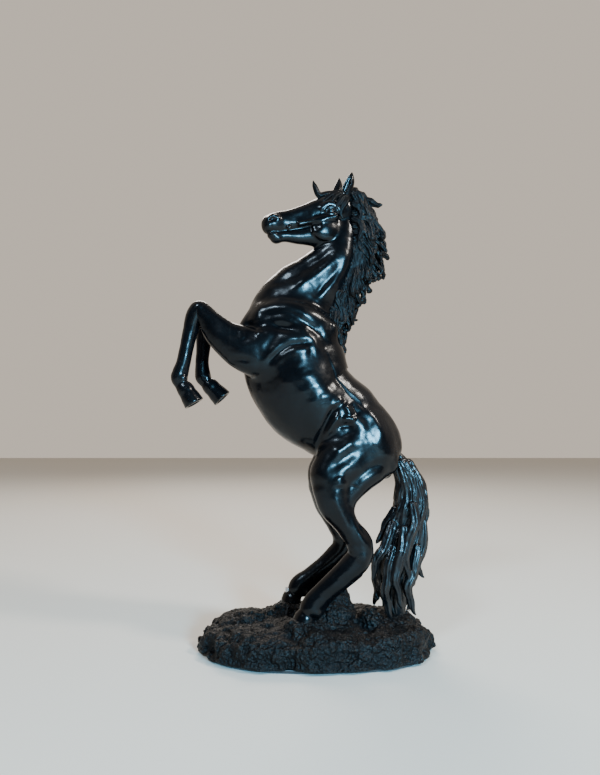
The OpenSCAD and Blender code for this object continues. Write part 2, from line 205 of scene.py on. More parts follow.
def sweep(grid, stations, k=2.0, n=6, lat=(0, 1, 0), cut=False, flute=None, pad=3.0, into=None):
    """An elliptical sweep over [x, y, z, radius across, radius along lat], joined into the grid's field."""
    if tuple(lat) == (0, 1, 0) and flute is None and n > 1:
        return plane_sweep(grid, stations, k, cut, pad, into)
    S = catmull(stations, n) if n > 1 else np.asarray(stations, float)
    S[:, 3:5] = np.maximum(S[:, 3:5], 0.15)
    R = S[:, 3:5].max() + pad
    W = grid.window(S[:, :3].min(0) - R, S[:, :3].max(0) + R)
    if W is None:
        return
    T = np.full(tuple(s.stop - s.start for s in W), 12.0, f32)
    base = [s.start for s in W]
    lat = unit(lat)
    run = 0.0
    for i in range(len(S) - 1):
        a, b = S[i], S[i + 1]
        d = b[:3] - a[:3]
        L = np.linalg.norm(d)
        if L < 1e-6:
            continue
        t3 = d / L
        nrm = np.cross(lat, t3)
        if np.linalg.norm(nrm) < 0.2:
            nrm = np.cross((0.3, 0.1, 1), t3)
        nrm = unit(nrm)
        bi = np.cross(t3, nrm)
        r = max(a[3], a[4], b[3], b[4]) + pad
        w = grid.window(np.minimum(a[:3], b[:3]) - r, np.maximum(a[:3], b[:3]) + r)
        if w is None:
            run += L
            continue
        w = tuple(slice(max(p.start, q.start), min(p.stop, q.stop)) for p, q in zip(w, W))
        if any(p.stop <= p.start for p in w):
            run += L
            continue
        X, Y, Z = grid.axes(w)
        px, py, pz = X - f32(a[0]), Y - f32(a[1]), Z - f32(a[2])
        ax = px * f32(t3[0]) + py * f32(t3[1]) + pz * f32(t3[2])
        t = np.clip(ax / f32(L), 0, 1)
        over = ax - t * f32(L)
        u = px * f32(nrm[0]) + py * f32(nrm[1]) + pz * f32(nrm[2])
        v = px * f32(bi[0]) + py * f32(bi[1]) + pz * f32(bi[2])
        A = f32(a[3]) + t * f32(b[3] - a[3])
        B = f32(a[4]) + t * f32(b[4] - a[4])
        C = np.minimum(A, B)
        iu, iv, io = u / A, v / B, over / C
        k0 = np.sqrt(iu * iu + iv * iv + io * io)
        k1 = np.sqrt((iu / A) ** 2 + (iv / B) ** 2 + (io / C) ** 2) + 1e-6
        D = k0 * (k0 - 1) / k1
        if flute:
            amp, m, ph, tw = flute
            th = np.arctan2(iv, iu)
            D = D - amp * C * np.cos(m * th + ph + tw * (run + t * f32(L))) * np.clip(k0, 0, 1)
        run += L
        loc = tuple(slice(p.start - o, p.stop - o) for p, o in zip(w, base))
        T[loc] = np.minimum(T[loc], D)
    if into is not None:
        into[W] = np.minimum(into[W], T)
        return
    if cut:
        grid.F[W] = smax(grid.F[W], -T, k)
    else:
        grid.F[W] = smin(grid.F[W], T, k)


def blob(grid, c, r, k=2.0, tilt=0.0, yaw=0.0, cut=False):
    """An ellipsoid. tilt turns it in the X-Z plane, yaw about Z."""
    R = max(r) + 4
    W = grid.window(np.array(c) - R, np.array(c) + R)
    if W is None:
        return
    X, Y, Z = grid.axes(W)
    x, y, z = X - f32(c[0]), Y - f32(c[1]), Z - f32(c[2])
    cy, sy = math.cos(math.radians(yaw)), math.sin(math.radians(yaw))
    x, y = x * cy + y * sy, -x * sy + y * cy
    ct, st = math.cos(math.radians(tilt)), math.sin(math.radians(tilt))
    x, z = x * ct + z * st, -x * st + z * ct
    a, b, d = [f32(v) for v in r]
    k0 = np.sqrt((x / a) ** 2 + (y / b) ** 2 + (z / d) ** 2)
    k1 = np.sqrt((x / a ** 2) ** 2 + (y / b ** 2) ** 2 + (z / d ** 2) ** 2) + 1e-6
    D = k0 * (k0 - 1) / k1
    grid.F[W] = smax(grid.F[W], -D, k) if cut else smin(grid.F[W], D, k)


LAT = {}


def lattice(seed):
    if seed not in LAT:
        LAT[seed] = (np.random.default_rng(seed).random((32, 32, 32)) * 2 - 1).astype(f32)
    return LAT[seed]


def noise(P, size, seed):
    L = lattice(seed)
    q = P / size
    i = np.floor(q).astype(np.int64)
    t = q - i
    t = t * t * t * (t * (t * 6 - 15) + 10)
    out = 0.0
    for dx in (0, 1):
        for dy in (0, 1):
            for dz in (0, 1):
                wt = (t[..., 0] if dx else 1 - t[..., 0]) * (t[..., 1] if dy else 1 - t[..., 1]) * (t[..., 2] if dz else 1 - t[..., 2])
                out = out + wt * L[(i[..., 0] + dx) % 32, (i[..., 1] + dy) % 32, (i[..., 2] + dz) % 32]
    return out


CORNER = np.array([[x, y, z] for x in (0, 1) for y in (0, 1) for z in (0, 1)])
EDGES = [(a, b) for a in range(8) for b in range(a + 1, 8) if np.abs(CORNER[a] - CORNER[b]).sum() == 1]


def nets(grid, relax=2):
    """The zero surface of a grid as points and quads."""
    F = grid.F
    for ax in range(3):
        sl = [slice(None)] * 3
        for e in (0, -1):
            sl[ax] = e
            F[tuple(sl)] = np.maximum(F[tuple(sl)], 0.5)
    s = F < 0
    c = np.zeros(tuple(np.array(F.shape) - 1), np.int8)
    nx, ny, nz = F.shape
    for x, y, z in CORNER:
        c += s[x:nx - 1 + x, y:ny - 1 + y, z:nz - 1 + z]
    act = (c > 0) & (c < 8)
    I = np.argwhere(act)
    idx = np.full(act.shape, -1, np.int64)
    idx[act] = np.arange(len(I))
    V = np.stack([F[I[:, 0] + x, I[:, 1] + y, I[:, 2] + z] for x, y, z in CORNER], 1).astype(float)
    pos = np.zeros((len(I), 3))
    cnt = np.zeros(len(I))
    for a, b in EDGES:
        m = (V[:, a] < 0) != (V[:, b] < 0)
        t = V[m, a] / (V[m, a] - V[m, b])
        pos[m] += CORNER[a] + t[:, None] * (CORNER[b] - CORNER[a])
        cnt[m] += 1
    P = grid.lo + grid.h * (I + pos / cnt[:, None])
    Q = []

    def add(e, cells, flip):
        E = np.argwhere(e)
        q = np.stack([idx[E[:, 0] + o[0], E[:, 1] + o[1], E[:, 2] + o[2]] for o in cells], 1)
        fl = flip[E[:, 0], E[:, 1], E[:, 2]]
        q[~fl] = q[~fl][:, ::-1]
        Q.append(q)
    e = s[:-1, 1:-1, 1:-1] != s[1:, 1:-1, 1:-1]
    add(e, [(0, 0, 0), (0, 1, 0), (0, 1, 1), (0, 0, 1)], s[:-1, 1:-1, 1:-1])
    e = s[1:-1, :-1, 1:-1] != s[1:-1, 1:, 1:-1]
    add(e, [(0, 0, 0), (0, 0, 1), (1, 0, 1), (1, 0, 0)], s[1:-1, :-1, 1:-1])
    e = s[1:-1, 1:-1, :-1] != s[1:-1, 1:-1, 1:]
    add(e, [(0, 0, 0), (1, 0, 0), (1, 1, 0), (0, 1, 0)], s[1:-1, 1:-1, :-1])
    Q = np.concatenate(Q)
    n = len(P)
    for _ in range(relax):
        acc = np.zeros((n, 3))
        deg = np.zeros(n)
        for a, b in ((0, 1), (1, 2), (2, 3), (3, 0)):
            for d in range(3):
                acc[:, d] += np.bincount(Q[:, a], P[Q[:, b], d], n)
                acc[:, d] += np.bincount(Q[:, b], P[Q[:, a], d], n)
            deg += np.bincount(Q[:, a], minlength=n) + np.bincount(Q[:, b], minlength=n)
        M = acc / np.maximum(deg, 1)[:, None]
        P = P + 0.6 * (M - P)
        g = grid.gradient(P)
        gg = np.maximum((g * g).sum(1), 0.15)
        step = grid.sample(P) / gg
        P = P - np.clip(step, -0.5, 0.5)[:, None] * g
    return P, Q


def normals(P, Q):
    d1 = P[Q[:, 2]] - P[Q[:, 0]]
    d2 = P[Q[:, 3]] - P[Q[:, 1]]
    fn = np.cross(d1, d2)
    N = np.zeros_like(P)
    for a in range(4):
        for d in range(3):
            N[:, d] += np.bincount(Q[:, a], fn[:, d], len(P))
    return N / np.maximum(np.linalg.norm(N, axis=1), 1e-9)[:, None]


def largest(P, Q, keep=1):
    """Drop crumbs that aren't joined to the main surface."""
    n = len(P)
    lab = np.arange(n)
    for _ in range(400):
        m = lab[Q].min(1)
        new = lab.copy()
        for a in range(4):
            np.minimum.at(new, Q[:, a], m)
        new = new[new]
        if np.array_equal(new, lab):
            break
        lab = new
    u, c = np.unique(lab[Q[:, 0]], return_counts=True)
    good = u[np.argsort(-c)[:keep]]
    Q = Q[np.isin(lab[Q[:, 0]], good)]
    used = np.zeros(n, bool)
    used[Q.ravel()] = True
    remap = np.cumsum(used) - 1
    return P[used], remap[Q]


# ---------------------------------------------------------------- the horse
TURN = math.radians(14)
PIV = (19.0, 0.0)


def head(p):
    """The lowering of the face from the poll downwards; the head is then turned as a whole by horse_head."""
    drop = (2.3 + 1.4 * min(max((4.0 - p[0]) / 30.0, 0.0), 1.0)) * min(max((290.0 - p[2]) / 6.0, 0.0), 1.0)
    return [p[0], p[1], p[2] - drop] + list(p[3:])


SPINE = [
    [17.6, 2, 273, 8.6, 6.5], [18.2, 1, 264.7, 9.7, 7.8], [16.4, 0.5, 255.1, 11.3, 9.2], [11.2, 0, 243.4, 14.5, 10.4], [2.9, 0, 231.4, 18.8, 11.8],
    [-7.0, 0, 220.2, 23.4, 14.2], [-14, 0, 208, 27.4, 17.2], [-15.8, 0, 194, 30.8, 19.4], [-14.6, 0, 180, 32.2, 21.2],
    [-11, 0, 166, 31.4, 22.8], [-4.2, 0, 152.3, 29, 23.2], [7.8, 0, 142.8, 26.6, 22.4], [20.2, 0, 135.6, 25.4, 20.4],
    [31.2, 0, 126.6, 23.2, 17.5], [39.4, 0, 117.3, 18.8, 14], [43, 0, 111, 10, 9], [43.6, 0, 108, 5, 5]]

FORE_L = [
    [-12, -12, 188, 10, 6], [-24, -14.2, 180, 13, 8], [-36, -15.2, 179.3, 13.2, 8.4], [-46, -15.8, 182.8, 11.7, 8.2], [-56, -16, 189.6, 9.8, 7.3],
    [-64, -16, 198, 7.9, 6.4], [-70, -16, 205.2, 6.6, 5.9], [-72.5, -16, 206.8, 5.7, 5.7], [-75.7, -16, 200.7, 5.1, 4.9], [-76.9, -16, 195, 4.7, 4.2], [-78.8, -16, 185.5, 4.2, 3.8],
    [-81.2, -16, 174.3, 4.2, 3.8], [-83.2, -16, 168.6, 4.5, 4.1], [-83.7, -16, 165, 4.9, 4.5], [-82, -16, 161, 4.1, 3.9], [-79, -16, 156.6, 4.2, 4.1]]
FORE_R = [
    [-12, 12, 188, 10, 6], [-24, 13.2, 182, 12.6, 8], [-36, 14, 182, 12.2, 8.4], [-46, 14.5, 186, 10.5, 8], [-56, 14.5, 193, 8.6, 7],
    [-64, 14.5, 200.5, 7, 6.1], [-69.5, 14.5, 205, 6.1, 5.8], [-71.5, 14.5, 204.8, 5.6, 5.6], [-73.2, 14.5, 199, 5.2, 4.8], [-73.9, 14.5, 193, 4.9, 4.2], [-74.3, 14.5, 184.5, 4.4, 3.9],
    [-74.6, 14.5, 176.8, 4.4, 3.9], [-74.7, 14.5, 172.1, 4.5, 4.2], [-74, 14.5, 168.5, 4.8, 4.5], [-71.5, 14.5, 165, 4.1, 3.9], [-68.5, 14.5, 161.5, 4.2, 4.1]]
HIND_L = [
    [34, -10, 124, 15, 9], [22, -13, 117, 17, 10.5], [11, -16, 106, 14, 10.5], [10.6, -17.3, 94, 10.6, 9.8], [14.8, -18, 83, 8.0, 8],
    [20.4, -18, 73.5, 6.7, 6.6], [25.6, -18, 65.4, 7.2, 6.2], [25.2, -18, 58.8, 7.5, 6.0], [19.8, -18, 52.4, 7.3, 5.7], [12, -18, 45.2, 6.9, 5.3],
    [4.4, -18, 38.4, 6.5, 5.2], [-0.8, -18, 33.4, 6.5, 5.4], [-3.8, -18, 29.5, 6.2, 5.6], [-5.8, -18, 25.5, 5.4, 5], [-7.2, -18, 21, 5.5, 5.2]]
HIND_R = [
    [33, 10, 124, 15, 9], [21, 13, 117, 17, 10.5], [9.5, 15, 105, 13.6, 10.2], [9, 15.3, 93, 11, 9.4], [12, 15.5, 82, 9.2, 8],
    [16, 15.5, 72, 7.4, 6.5], [19.2, 15.5, 64.4, 7, 6.2], [17.6, 15.5, 57.8, 6.7, 5.8], [11.4, 15.5, 51.4, 6.0, 5.1], [4.0, 15.5, 45.2, 5.5, 4.7],
    [-3.9, 15.5, 39.2, 5.4, 4.7], [-8.8, 15.5, 35.8, 5.8, 5.1], [-11.4, 15.5, 32.2, 5.9, 5.4], [-13.2, 15.5, 28.2, 5, 4.8], [-14.8, 15.5, 24, 5.2, 5]]

# [centre of the ground face, centre of the coronet, y, ground radii, coronet radii]
HOOVES = [
    [(-74.0, 149.2), (-79.4, 158.0), -16, (6.3, 6.0), (4.7, 4.6)],
    [(-60.6, 154.2), (-68.5, 162.4), 14.5, (6.8, 6.2), (5.0, 4.7)],
    [(-9.5, 13.5), (-7.2, 23.0), -18, (8.0, 7.2), (6.0, 5.7)],
    [(-17.0, 15.5), (-14.8, 25.4), 15.5, (7.8, 7.0), (5.8, 5.5)]]


def hoof(grid, h):
    g0, g1, y, rg, rc = h
    a = np.array([g0[0], y, g0[1]], float)
    b = np.array([g1[0], y, g1[1]], float)
    ax = unit(b - a)
    st = [[*(a - ax * 4), rg[0] + 0.5, rg[1] + 0.5], [*a, rg[0], rg[1]], [*(a + (b - a) * 0.5), (rg[0] * 1.05 + rc[0]) / 2, (rg[1] * 1.05 + rc[1]) / 2], [*b, rc[0], rc[1]]]
    T = np.full_like(grid.F, 12.0)
    sweep(grid, st, n=4, into=T)
    W = grid.window(a - 16, b + 16) or grid.window(np.minimum(a, b) - 16, np.maximum(a, b) + 16)
    if W is None:
        return
    X, Y, Z = grid.axes(W)
    pl = -((X - f32(a[0])) * f32(ax[0]) + (Y - f32(a[1])) * f32(ax[1]) + (Z - f32(a[2])) * f32(ax[2]))
    T[W] = smax(T[W], pl, 0.8)
    # join the hoof; the hollow of the sole is cut after the coronet band
    X, Y, Z = grid.axes(W)
    grid.F[W] = smin(grid.F[W], T[W], 0.7)
    # coronet band
    sweep(grid, [[*(b - ax * 0.4), rc[0] + 0.55, rc[1] + 0.55], [*(b + ax * 0.5), rc[0] + 0.35, rc[1] + 0.35]], k=0.8, n=1)
    blob(grid, a - ax * 0.6, (rg[0] * 0.62, rg[1] * 0.62, rg[0] * 0.62), k=0.6, cut=True)


def horse(grid):
    """The whole bare horse, without mane, forelock and tail."""
    sweep(grid, SPINE, k=3, n=6)
    # the hollow of the back behind the withers
    sweep(grid, [[3.6, 0, 190, 8, 10], [7.8, 0, 179.4, 9, 12], [11.2, 0, 169.3, 9, 13], [16.4, 0, 161.4, 9, 13.5], [25.3, 0, 153.1, 9, 13]], k=8)
    for s in (-1, 1):
        y = s
        # chest
        sweep(grid, [[-34, 6.5 * y, 205, 8, 7], [-40, 7 * y, 196, 8.5, 7.5], [-38, 7.5 * y, 186, 7, 7]], k=5, n=4)
        # shoulder blade, upper arm and the long head of the triceps
        sweep(grid, [[9, 9 * y, 196, 6.5, 5], [-4, 13.4 * y, 200, 9, 6.5], [-18, 14.6 * y, 203, 10, 6.6], [-32, 12.5 * y, 203, 8, 6.5]], k=5, n=4)
        sweep(grid, [[4, 11 * y, 192, 6, 5], [-8, 15.6 * y, 187, 10.5, 6.6], [-24, 16.4 * y, 181, 10.5, 6.8], [-34, 15.6 * y, 177, 6.5, 5]], k=3.5, n=4)
        sweep(grid, [[-33, 12.5 * y, 201, 7, 6], [-30, 15.8 * y, 192, 7.5, 6], [-37, 16.4 * y, 185, 6.5, 6]], k=3, n=4)
        # belly of the ribs
        sweep(grid, [[-12, 8 * y, 178, 18, 14.5], [-8, 9.5 * y, 164, 18, 14.5], [0, 9.5 * y, 153, 16, 13.6]], k=6, n=4)
        # haunch: gluteals, thigh and hamstring
        sweep(grid, [[20, 8 * y, 142, 9, 9], [31, 9.5 * y, 130, 14, 10], [36, 9.5 * y, 118, 13, 9.5]], k=5, n=4)
        sweep(grid, [[28, 12 * y, 131, 8.5, 7.5], [15, 15.8 * y, 119, 11, 8], [6.5, 16.8 * y, 107.5, 9.2, 8.2]], k=4, n=4)
        sweep(grid, [[44, 7 * y, 114, 8, 7], [35, 12 * y, 109.5, 8.6, 8], [25, 15 * y, 100.5, 7, 7.6], [19, 16.5 * y, 91.5, 4.6, 5.2]], k=3.5, n=4)
        # point of the hip
        blob(grid, (24.5, 15 * y, 137), (5, 3.4, 4.6), k=5)
    for st in (FORE_L, FORE_R, HIND_L, HIND_R):
        sweep(grid, st, k=4.5, n=5)
    # forearm: extensor in front, flexor behind
    for F, s in ((FORE_L, -1), (FORE_R, 1)):
        y = F[4][1]
        dz = 0 if s < 0 else 3
        sweep(grid, [[-40, y - s * 1, 190 + dz, 6.5, 6.4], [-52, y + s * 0.6, 193.5 + dz * 0.8, 5.6, 5.8], [-62, y + s * 0.8, 201.4 + dz * 0.6, 4, 4.4], [-68, y + s * 0.5, 207.6 - dz * 0.3, 2.6, 3]], k=1.6, n=4)
        sweep(grid, [[-38, y, 172.6 + dz, 6.2, 6.2], [-48, y + s * 0.8, 178 + dz, 6, 5.8], [-58, y + s * 0.6, 186.6 + dz, 4.2, 4.4], [-66, y + s * 0.4, 196.2 + dz * 0.5, 2.6, 3]], k=1.6, n=4)
        # knee: flat front, and the small bone behind
        kx, kz = F[7][0], F[7][2]
        blob(grid, (kx + 1.2, y, kz + 1.6), (5.2, 4.9, 4.0), k=1.6, tilt=-8)
        blob(grid, (kx + 3.9, y, kz - 6.2), (2.6, 2.9, 3.6), k=1.8, tilt=15)
        blob(grid, (kx - 3.4, y, kz - 1.5), (2.4, 4.3, 3.0), k=1.2, tilt=-20)
        # tendons down the back of the cannon, sesamoids at the fetlock
        c0, c1, c2 = F[9], F[11], F[13]
        off = 2.9
        sweep(grid, [[c0[0] + off + 0.4, y, c0[2] - 1, 1.7, 1.8], [(c0[0] + c1[0]) / 2 + off, y, (c0[2] + c1[2]) / 2 + 0.5, 1.5, 1.6], [c1[0] + off, y, c1[2] + 0.4, 1.6, 1.7], [c2[0] + 3.2, y, c2[2] + 0.3, 2.2, 2.6]], k=0.9, n=5)
        for e in (-1, 1):
            blob(grid, (c2[0] + 2.9, y + e * 2.2, c2[2] - 0.6), (2.2, 1.8, 2.6), k=1.2)
    # gaskin, hock and cannon of the hind legs
    for H, s in ((HIND_L, -1), (HIND_R, 1)):
        y = H[5][1]
        g, k5, k6, k7 = H[3], H[5], H[6], H[7]
        sweep(grid, [[g[0] - 6, y + s * 1.2, g[2] + 3, 6, 6], [g[0] - 2.5, y + s * 1.6, g[2] - 8, 5.6, 5.6], [k5[0] - 3.6, y + s * 0.6, k5[2] + 3, 3.6, 4]], k=2.2, n=4)
        # Achilles tendon to the point of the hock
        ph = (k6[0] + 4.6, k6[2] + 1.2)
        sweep(grid, [[g[0] + 5.6, y + s * 0.5, g[2] - 4.5, 4.0, 4], [g[0] + 7.8, y, g[2] - 12.5, 2.5, 2.6], [ph[0] - 2.2, y, ph[1] + 6.5, 1.9, 2.1], [ph[0], y, ph[1] + 0.8, 2.6, 2.9], [ph[0] - 3, y, ph[1] - 4.5, 3, 3]], k=1.6, n=5)
        blob(grid, (k6[0] - 3.5, y + s * 1.8, k6[2] - 1.5), (3.6, 3.9, 4.4), k=1.6, tilt=30)
        blob(grid, (k7[0] + 1.2, y + s * 2.0, k7[2] + 0.4), (4.2, 3.8, 4.0), k=2)
        # flexor tendon under the cannon
        a, b, c = H[8], H[10], H[12]
        ox, oz = 3.2, -3.6
        sweep(grid, [[a[0] + ox + 1.6, y, a[2] + oz + 0.4, 2.3, 2.6], [(a[0] + b[0]) / 2 + ox, y, (a[2] + b[2]) / 2 + oz, 2.1, 2.3], [b[0] + ox - 0.2, y, b[2] + oz + 0.2, 2.3, 2.5], [c[0] + 4.6, y, c[2] - 2.4, 2.9, 3.4]], k=0.9, n=5)
        for e in (-1, 1):
            blob(grid, (c[0] + 3.6, y + e * 2.9, c[2] - 1.6), (2.7, 2.1, 2.9), k=1.3, tilt=30)
    for h in HOOVES:
        hoof(grid, h)
    horse_head(grid)


def head_form(grid):
    """The head alone, before it is turned."""
    def S(rows):
        return [head(r) for r in rows]
    # skull, face and upper jaw
    sweep(grid, S([[-30.2, 0, 266.9, 5.9, 5.3], [-27, 0, 267.8, 6.7, 5.3], [-22, 0, 269, 7.1, 4.7], [-16, 0, 270.3, 7.3, 5.0], [-10, 0, 271.8, 7.9, 5.7], [-4, 0, 273.4, 8.7, 6.8],
                   [2, 0, 275.2, 9.7, 7.9], [8, 0, 277.4, 10.4, 8.6], [13.5, 0, 279, 10.6, 8.6], [19, 0, 279.6, 9.6, 7.6]]), k=2.5, n=5)
    # lower jaw
    sweep(grid, S([[-26.6, 0, 258.9, 3.9, 3.5], [-21, 0, 259.9, 3.8, 3.4], [-14, 0, 260.0, 4.6, 3.8], [-7, 0, 260.6, 5.9, 4.6], [0, 0, 261.8, 8.4, 5.6], [6, 0, 264.2, 10.2, 6.4], [11, 0, 268, 10.2, 6.8]]), k=1.2, n=5)
    for s in (-1, 1):
        blob(grid, head([4.5, s * 5.9, 264.6]), (8.6, 2.7, 8.4), k=1.8, tilt=0)
        # arch over the eye and down to the cheek
        sweep(grid, S([[2.2, s * 7.2, 277.0, 1.2, 1.2], [6.5, s * 8.0, 279.6, 1.6, 1.5], [11, s * 8.3, 278.8, 1.6, 1.5], [14, s * 8.1, 275.5, 1.4, 1.3]]), k=2.6, n=5)
        sweep(grid, S([[11, s * 8.2, 271.6, 1.3, 1.2], [3, s * 7.6, 269.4, 1.4, 1.2], [-6, s * 6.2, 267.4, 1.1, 0.9], [-12, s * 5.4, 266.4, 0.8, 0.6]]), k=2.6, n=5)
        blob(grid, head([7.6, s * 9.7, 275.2]), (3.4, 1.8, 2.2), k=1.6, tilt=12, cut=True)
        blob(grid, head([7.9, s * 7.1, 275.1]), (2.3, 2.4, 2.1), k=0.35)
        # lids
        sweep(grid, S([[4.4, s * 8.1, 274.7, 0.6, 0.6], [6.4, s * 8.9, 276.9, 0.85, 0.8], [9.4, s * 9.1, 277.0, 0.85, 0.8], [11.4, s * 8.5, 275.3, 0.6, 0.6]]), k=0.9, n=5)
        sweep(grid, S([[4.4, s * 8.1, 274.7, 0.5, 0.5], [6.6, s * 8.7, 273.2, 0.7, 0.6], [9.3, s * 8.8, 273.1, 0.7, 0.6], [11.4, s * 8.5, 275.3, 0.5, 0.5]]), k=0.9, n=5)
        # hollow above the eye, and in front of the cheek
        blob(grid, head([13.6, s * 9.8, 281.8]), (3, 2.0, 2.6), k=2.4, cut=True)
        blob(grid, head([-6, s * 8.4, 264.8]), (6, 2.2, 2.4), k=2.8, tilt=8, cut=True)
        blob(grid, head([-14, s * 7.5, 271.4]), (7, 1.9, 2.4), k=2.8, tilt=17, cut=True)
        # nostril
        sweep(grid, S([[-26, s * 4.0, 270.4, 1.6, 1.4], [-29.3, s * 4.5, 270.7, 1.7, 1.4], [-31.7, s * 4.1, 268.8, 1.5, 1.2]]), k=1.8, n=5)
        sweep(grid, S([[-27.4, s * 6.3, 268.9, 0.9, 1.2], [-29.4, s * 6.2, 268.7, 1.4, 1.6], [-30.8, s * 5.8, 267.8, 1.0, 1.2]]), k=0.8, n=4, cut=True)
        # mouth
        sweep(grid, S([[-33.6, s * 3.4, 261.9, 0.45, 1.3], [-29, s * 5.0, 262.0, 0.45, 1.1], [-24, s * 5.0, 262.6, 0.42, 0.9], [-19.4, s * 4.8, 263.6, 0.3, 0.5]]), k=0.5, n=4, cut=True)
        blob(grid, head([-18.6, s * 4.4, 264.4]), (1.6, 0.9, 1.6), k=0.8)
    # lips and chin
    blob(grid, head([-31.3, 0, 264.9]), (3.0, 4.5, 3.6), k=1.6)
    blob(grid, head([-28.2, 0, 259.9]), (3.4, 3.7, 2.2), k=1.0)
    blob(grid, head([-25.2, 0, 257.9]), (2.8, 3.2, 2.5), k=1.2)
    # ears
    for s in (-1, 1):
        if s < 0:
            sweep(grid, S([[18.2, -4.8, 284.5, 3.6, 3.0], [20.0, -5.6, 289.4, 3.7, 2.7], [21.4, -6.3, 293.8, 3.1, 2.2], [22.2, -6.8, 297.4, 2.0, 1.4], [22.8, -7.0, 300.2, 0.45, 0.45]]), k=1.2, n=6)
            sweep(grid, S([[18.0, -6.9, 288.6, 1.5, 1.5], [19.6, -7.9, 292.6, 1.7, 1.5], [21.2, -8.0, 296.4, 0.9, 0.8]]), k=0.6, n=5, cut=True)
        else:
            sweep(grid, S([[14.6, 4.8, 286.5, 3.4, 2.9], [16.6, 5.6, 291.4, 3.4, 2.5], [18.0, 6.3, 296.0, 2.9, 2.0], [18.6, 6.8, 299.6, 1.8, 1.3], [18.8, 7.0, 302.4, 0.45, 0.45]]), k=1.2, n=6)
            sweep(grid, S([[13.8, 6.2, 290.6, 1.4, 1.2], [15.6, 7.0, 294.4, 1.6, 1.2], [17.2, 7.4, 298.0, 0.9, 0.7]]), k=0.6, n=5, cut=True)


HEAD = Grid((-42, -15, 249), (34, 15, 305), 0.36)
head_form(HEAD)


def horse_head(grid):
    """Join the turned head into a grid."""
    c, s = math.cos(TURN), math.sin(TURN)
    lo, hi = HEAD.lo + 1, HEAD.lo + HEAD.h * (HEAD.n - 1) - 1
    cs = [(PIV[0] + (x - PIV[0]) * c - (y - PIV[1]) * s, PIV[1] + (x - PIV[0]) * s + (y - PIV[1]) * c) for x in (lo[0], hi[0]) for y in (lo[1], hi[1])]
    cs = np.array(cs)
    if cs[:, 0].max() < grid.lo[0] or cs[:, 0].min() > grid.lo[0] + grid.h * grid.n[0] or hi[2] < grid.lo[2] or lo[2] > grid.lo[2] + grid.h * grid.n[2]:
        return
    W = grid.window((*cs.min(0), lo[2]), (*cs.max(0), hi[2]))
    if W is None:
        return
    X, Y, Z = grid.axes(W)
    z = (Z.ravel() - HEAD.lo[2]) / HEAD.h
    z = np.clip(z, 0, HEAD.n[2] - 1.001)
    k = np.floor(z).astype(int)
    t = (z - k).astype(f32)
    H = HEAD.F[:, :, k] * (1 - t) + HEAD.F[:, :, k + 1] * t
    x, y = X[:, :, 0] - f32(PIV[0]), Y[:, :, 0] - f32(PIV[1])
    u = (PIV[0] + c * x + s * y - HEAD.lo[0]) / HEAD.h
    v = (PIV[1] - s * x + c * y - HEAD.lo[1]) / HEAD.h
    out = (u < 0) | (v < 0) | (u > HEAD.n[0] - 1.01) | (v > HEAD.n[1] - 1.01)
    u, v = np.clip(u, 0, HEAD.n[0] - 1.01), np.clip(v, 0, HEAD.n[1] - 1.01)
    i, j = np.floor(u).astype(int), np.floor(v).astype(int)
    a, b = (u - i).astype(f32)[..., None], (v - j).astype(f32)[..., None]
    T = H[i, j] * (1 - a) * (1 - b) + H[i + 1, j] * a * (1 - b) + H[i, j + 1] * (1 - a) * b + H[i + 1, j + 1] * a * b
    T[out] = 12
    grid.F[W] = smin(grid.F[W], T, 2.5)


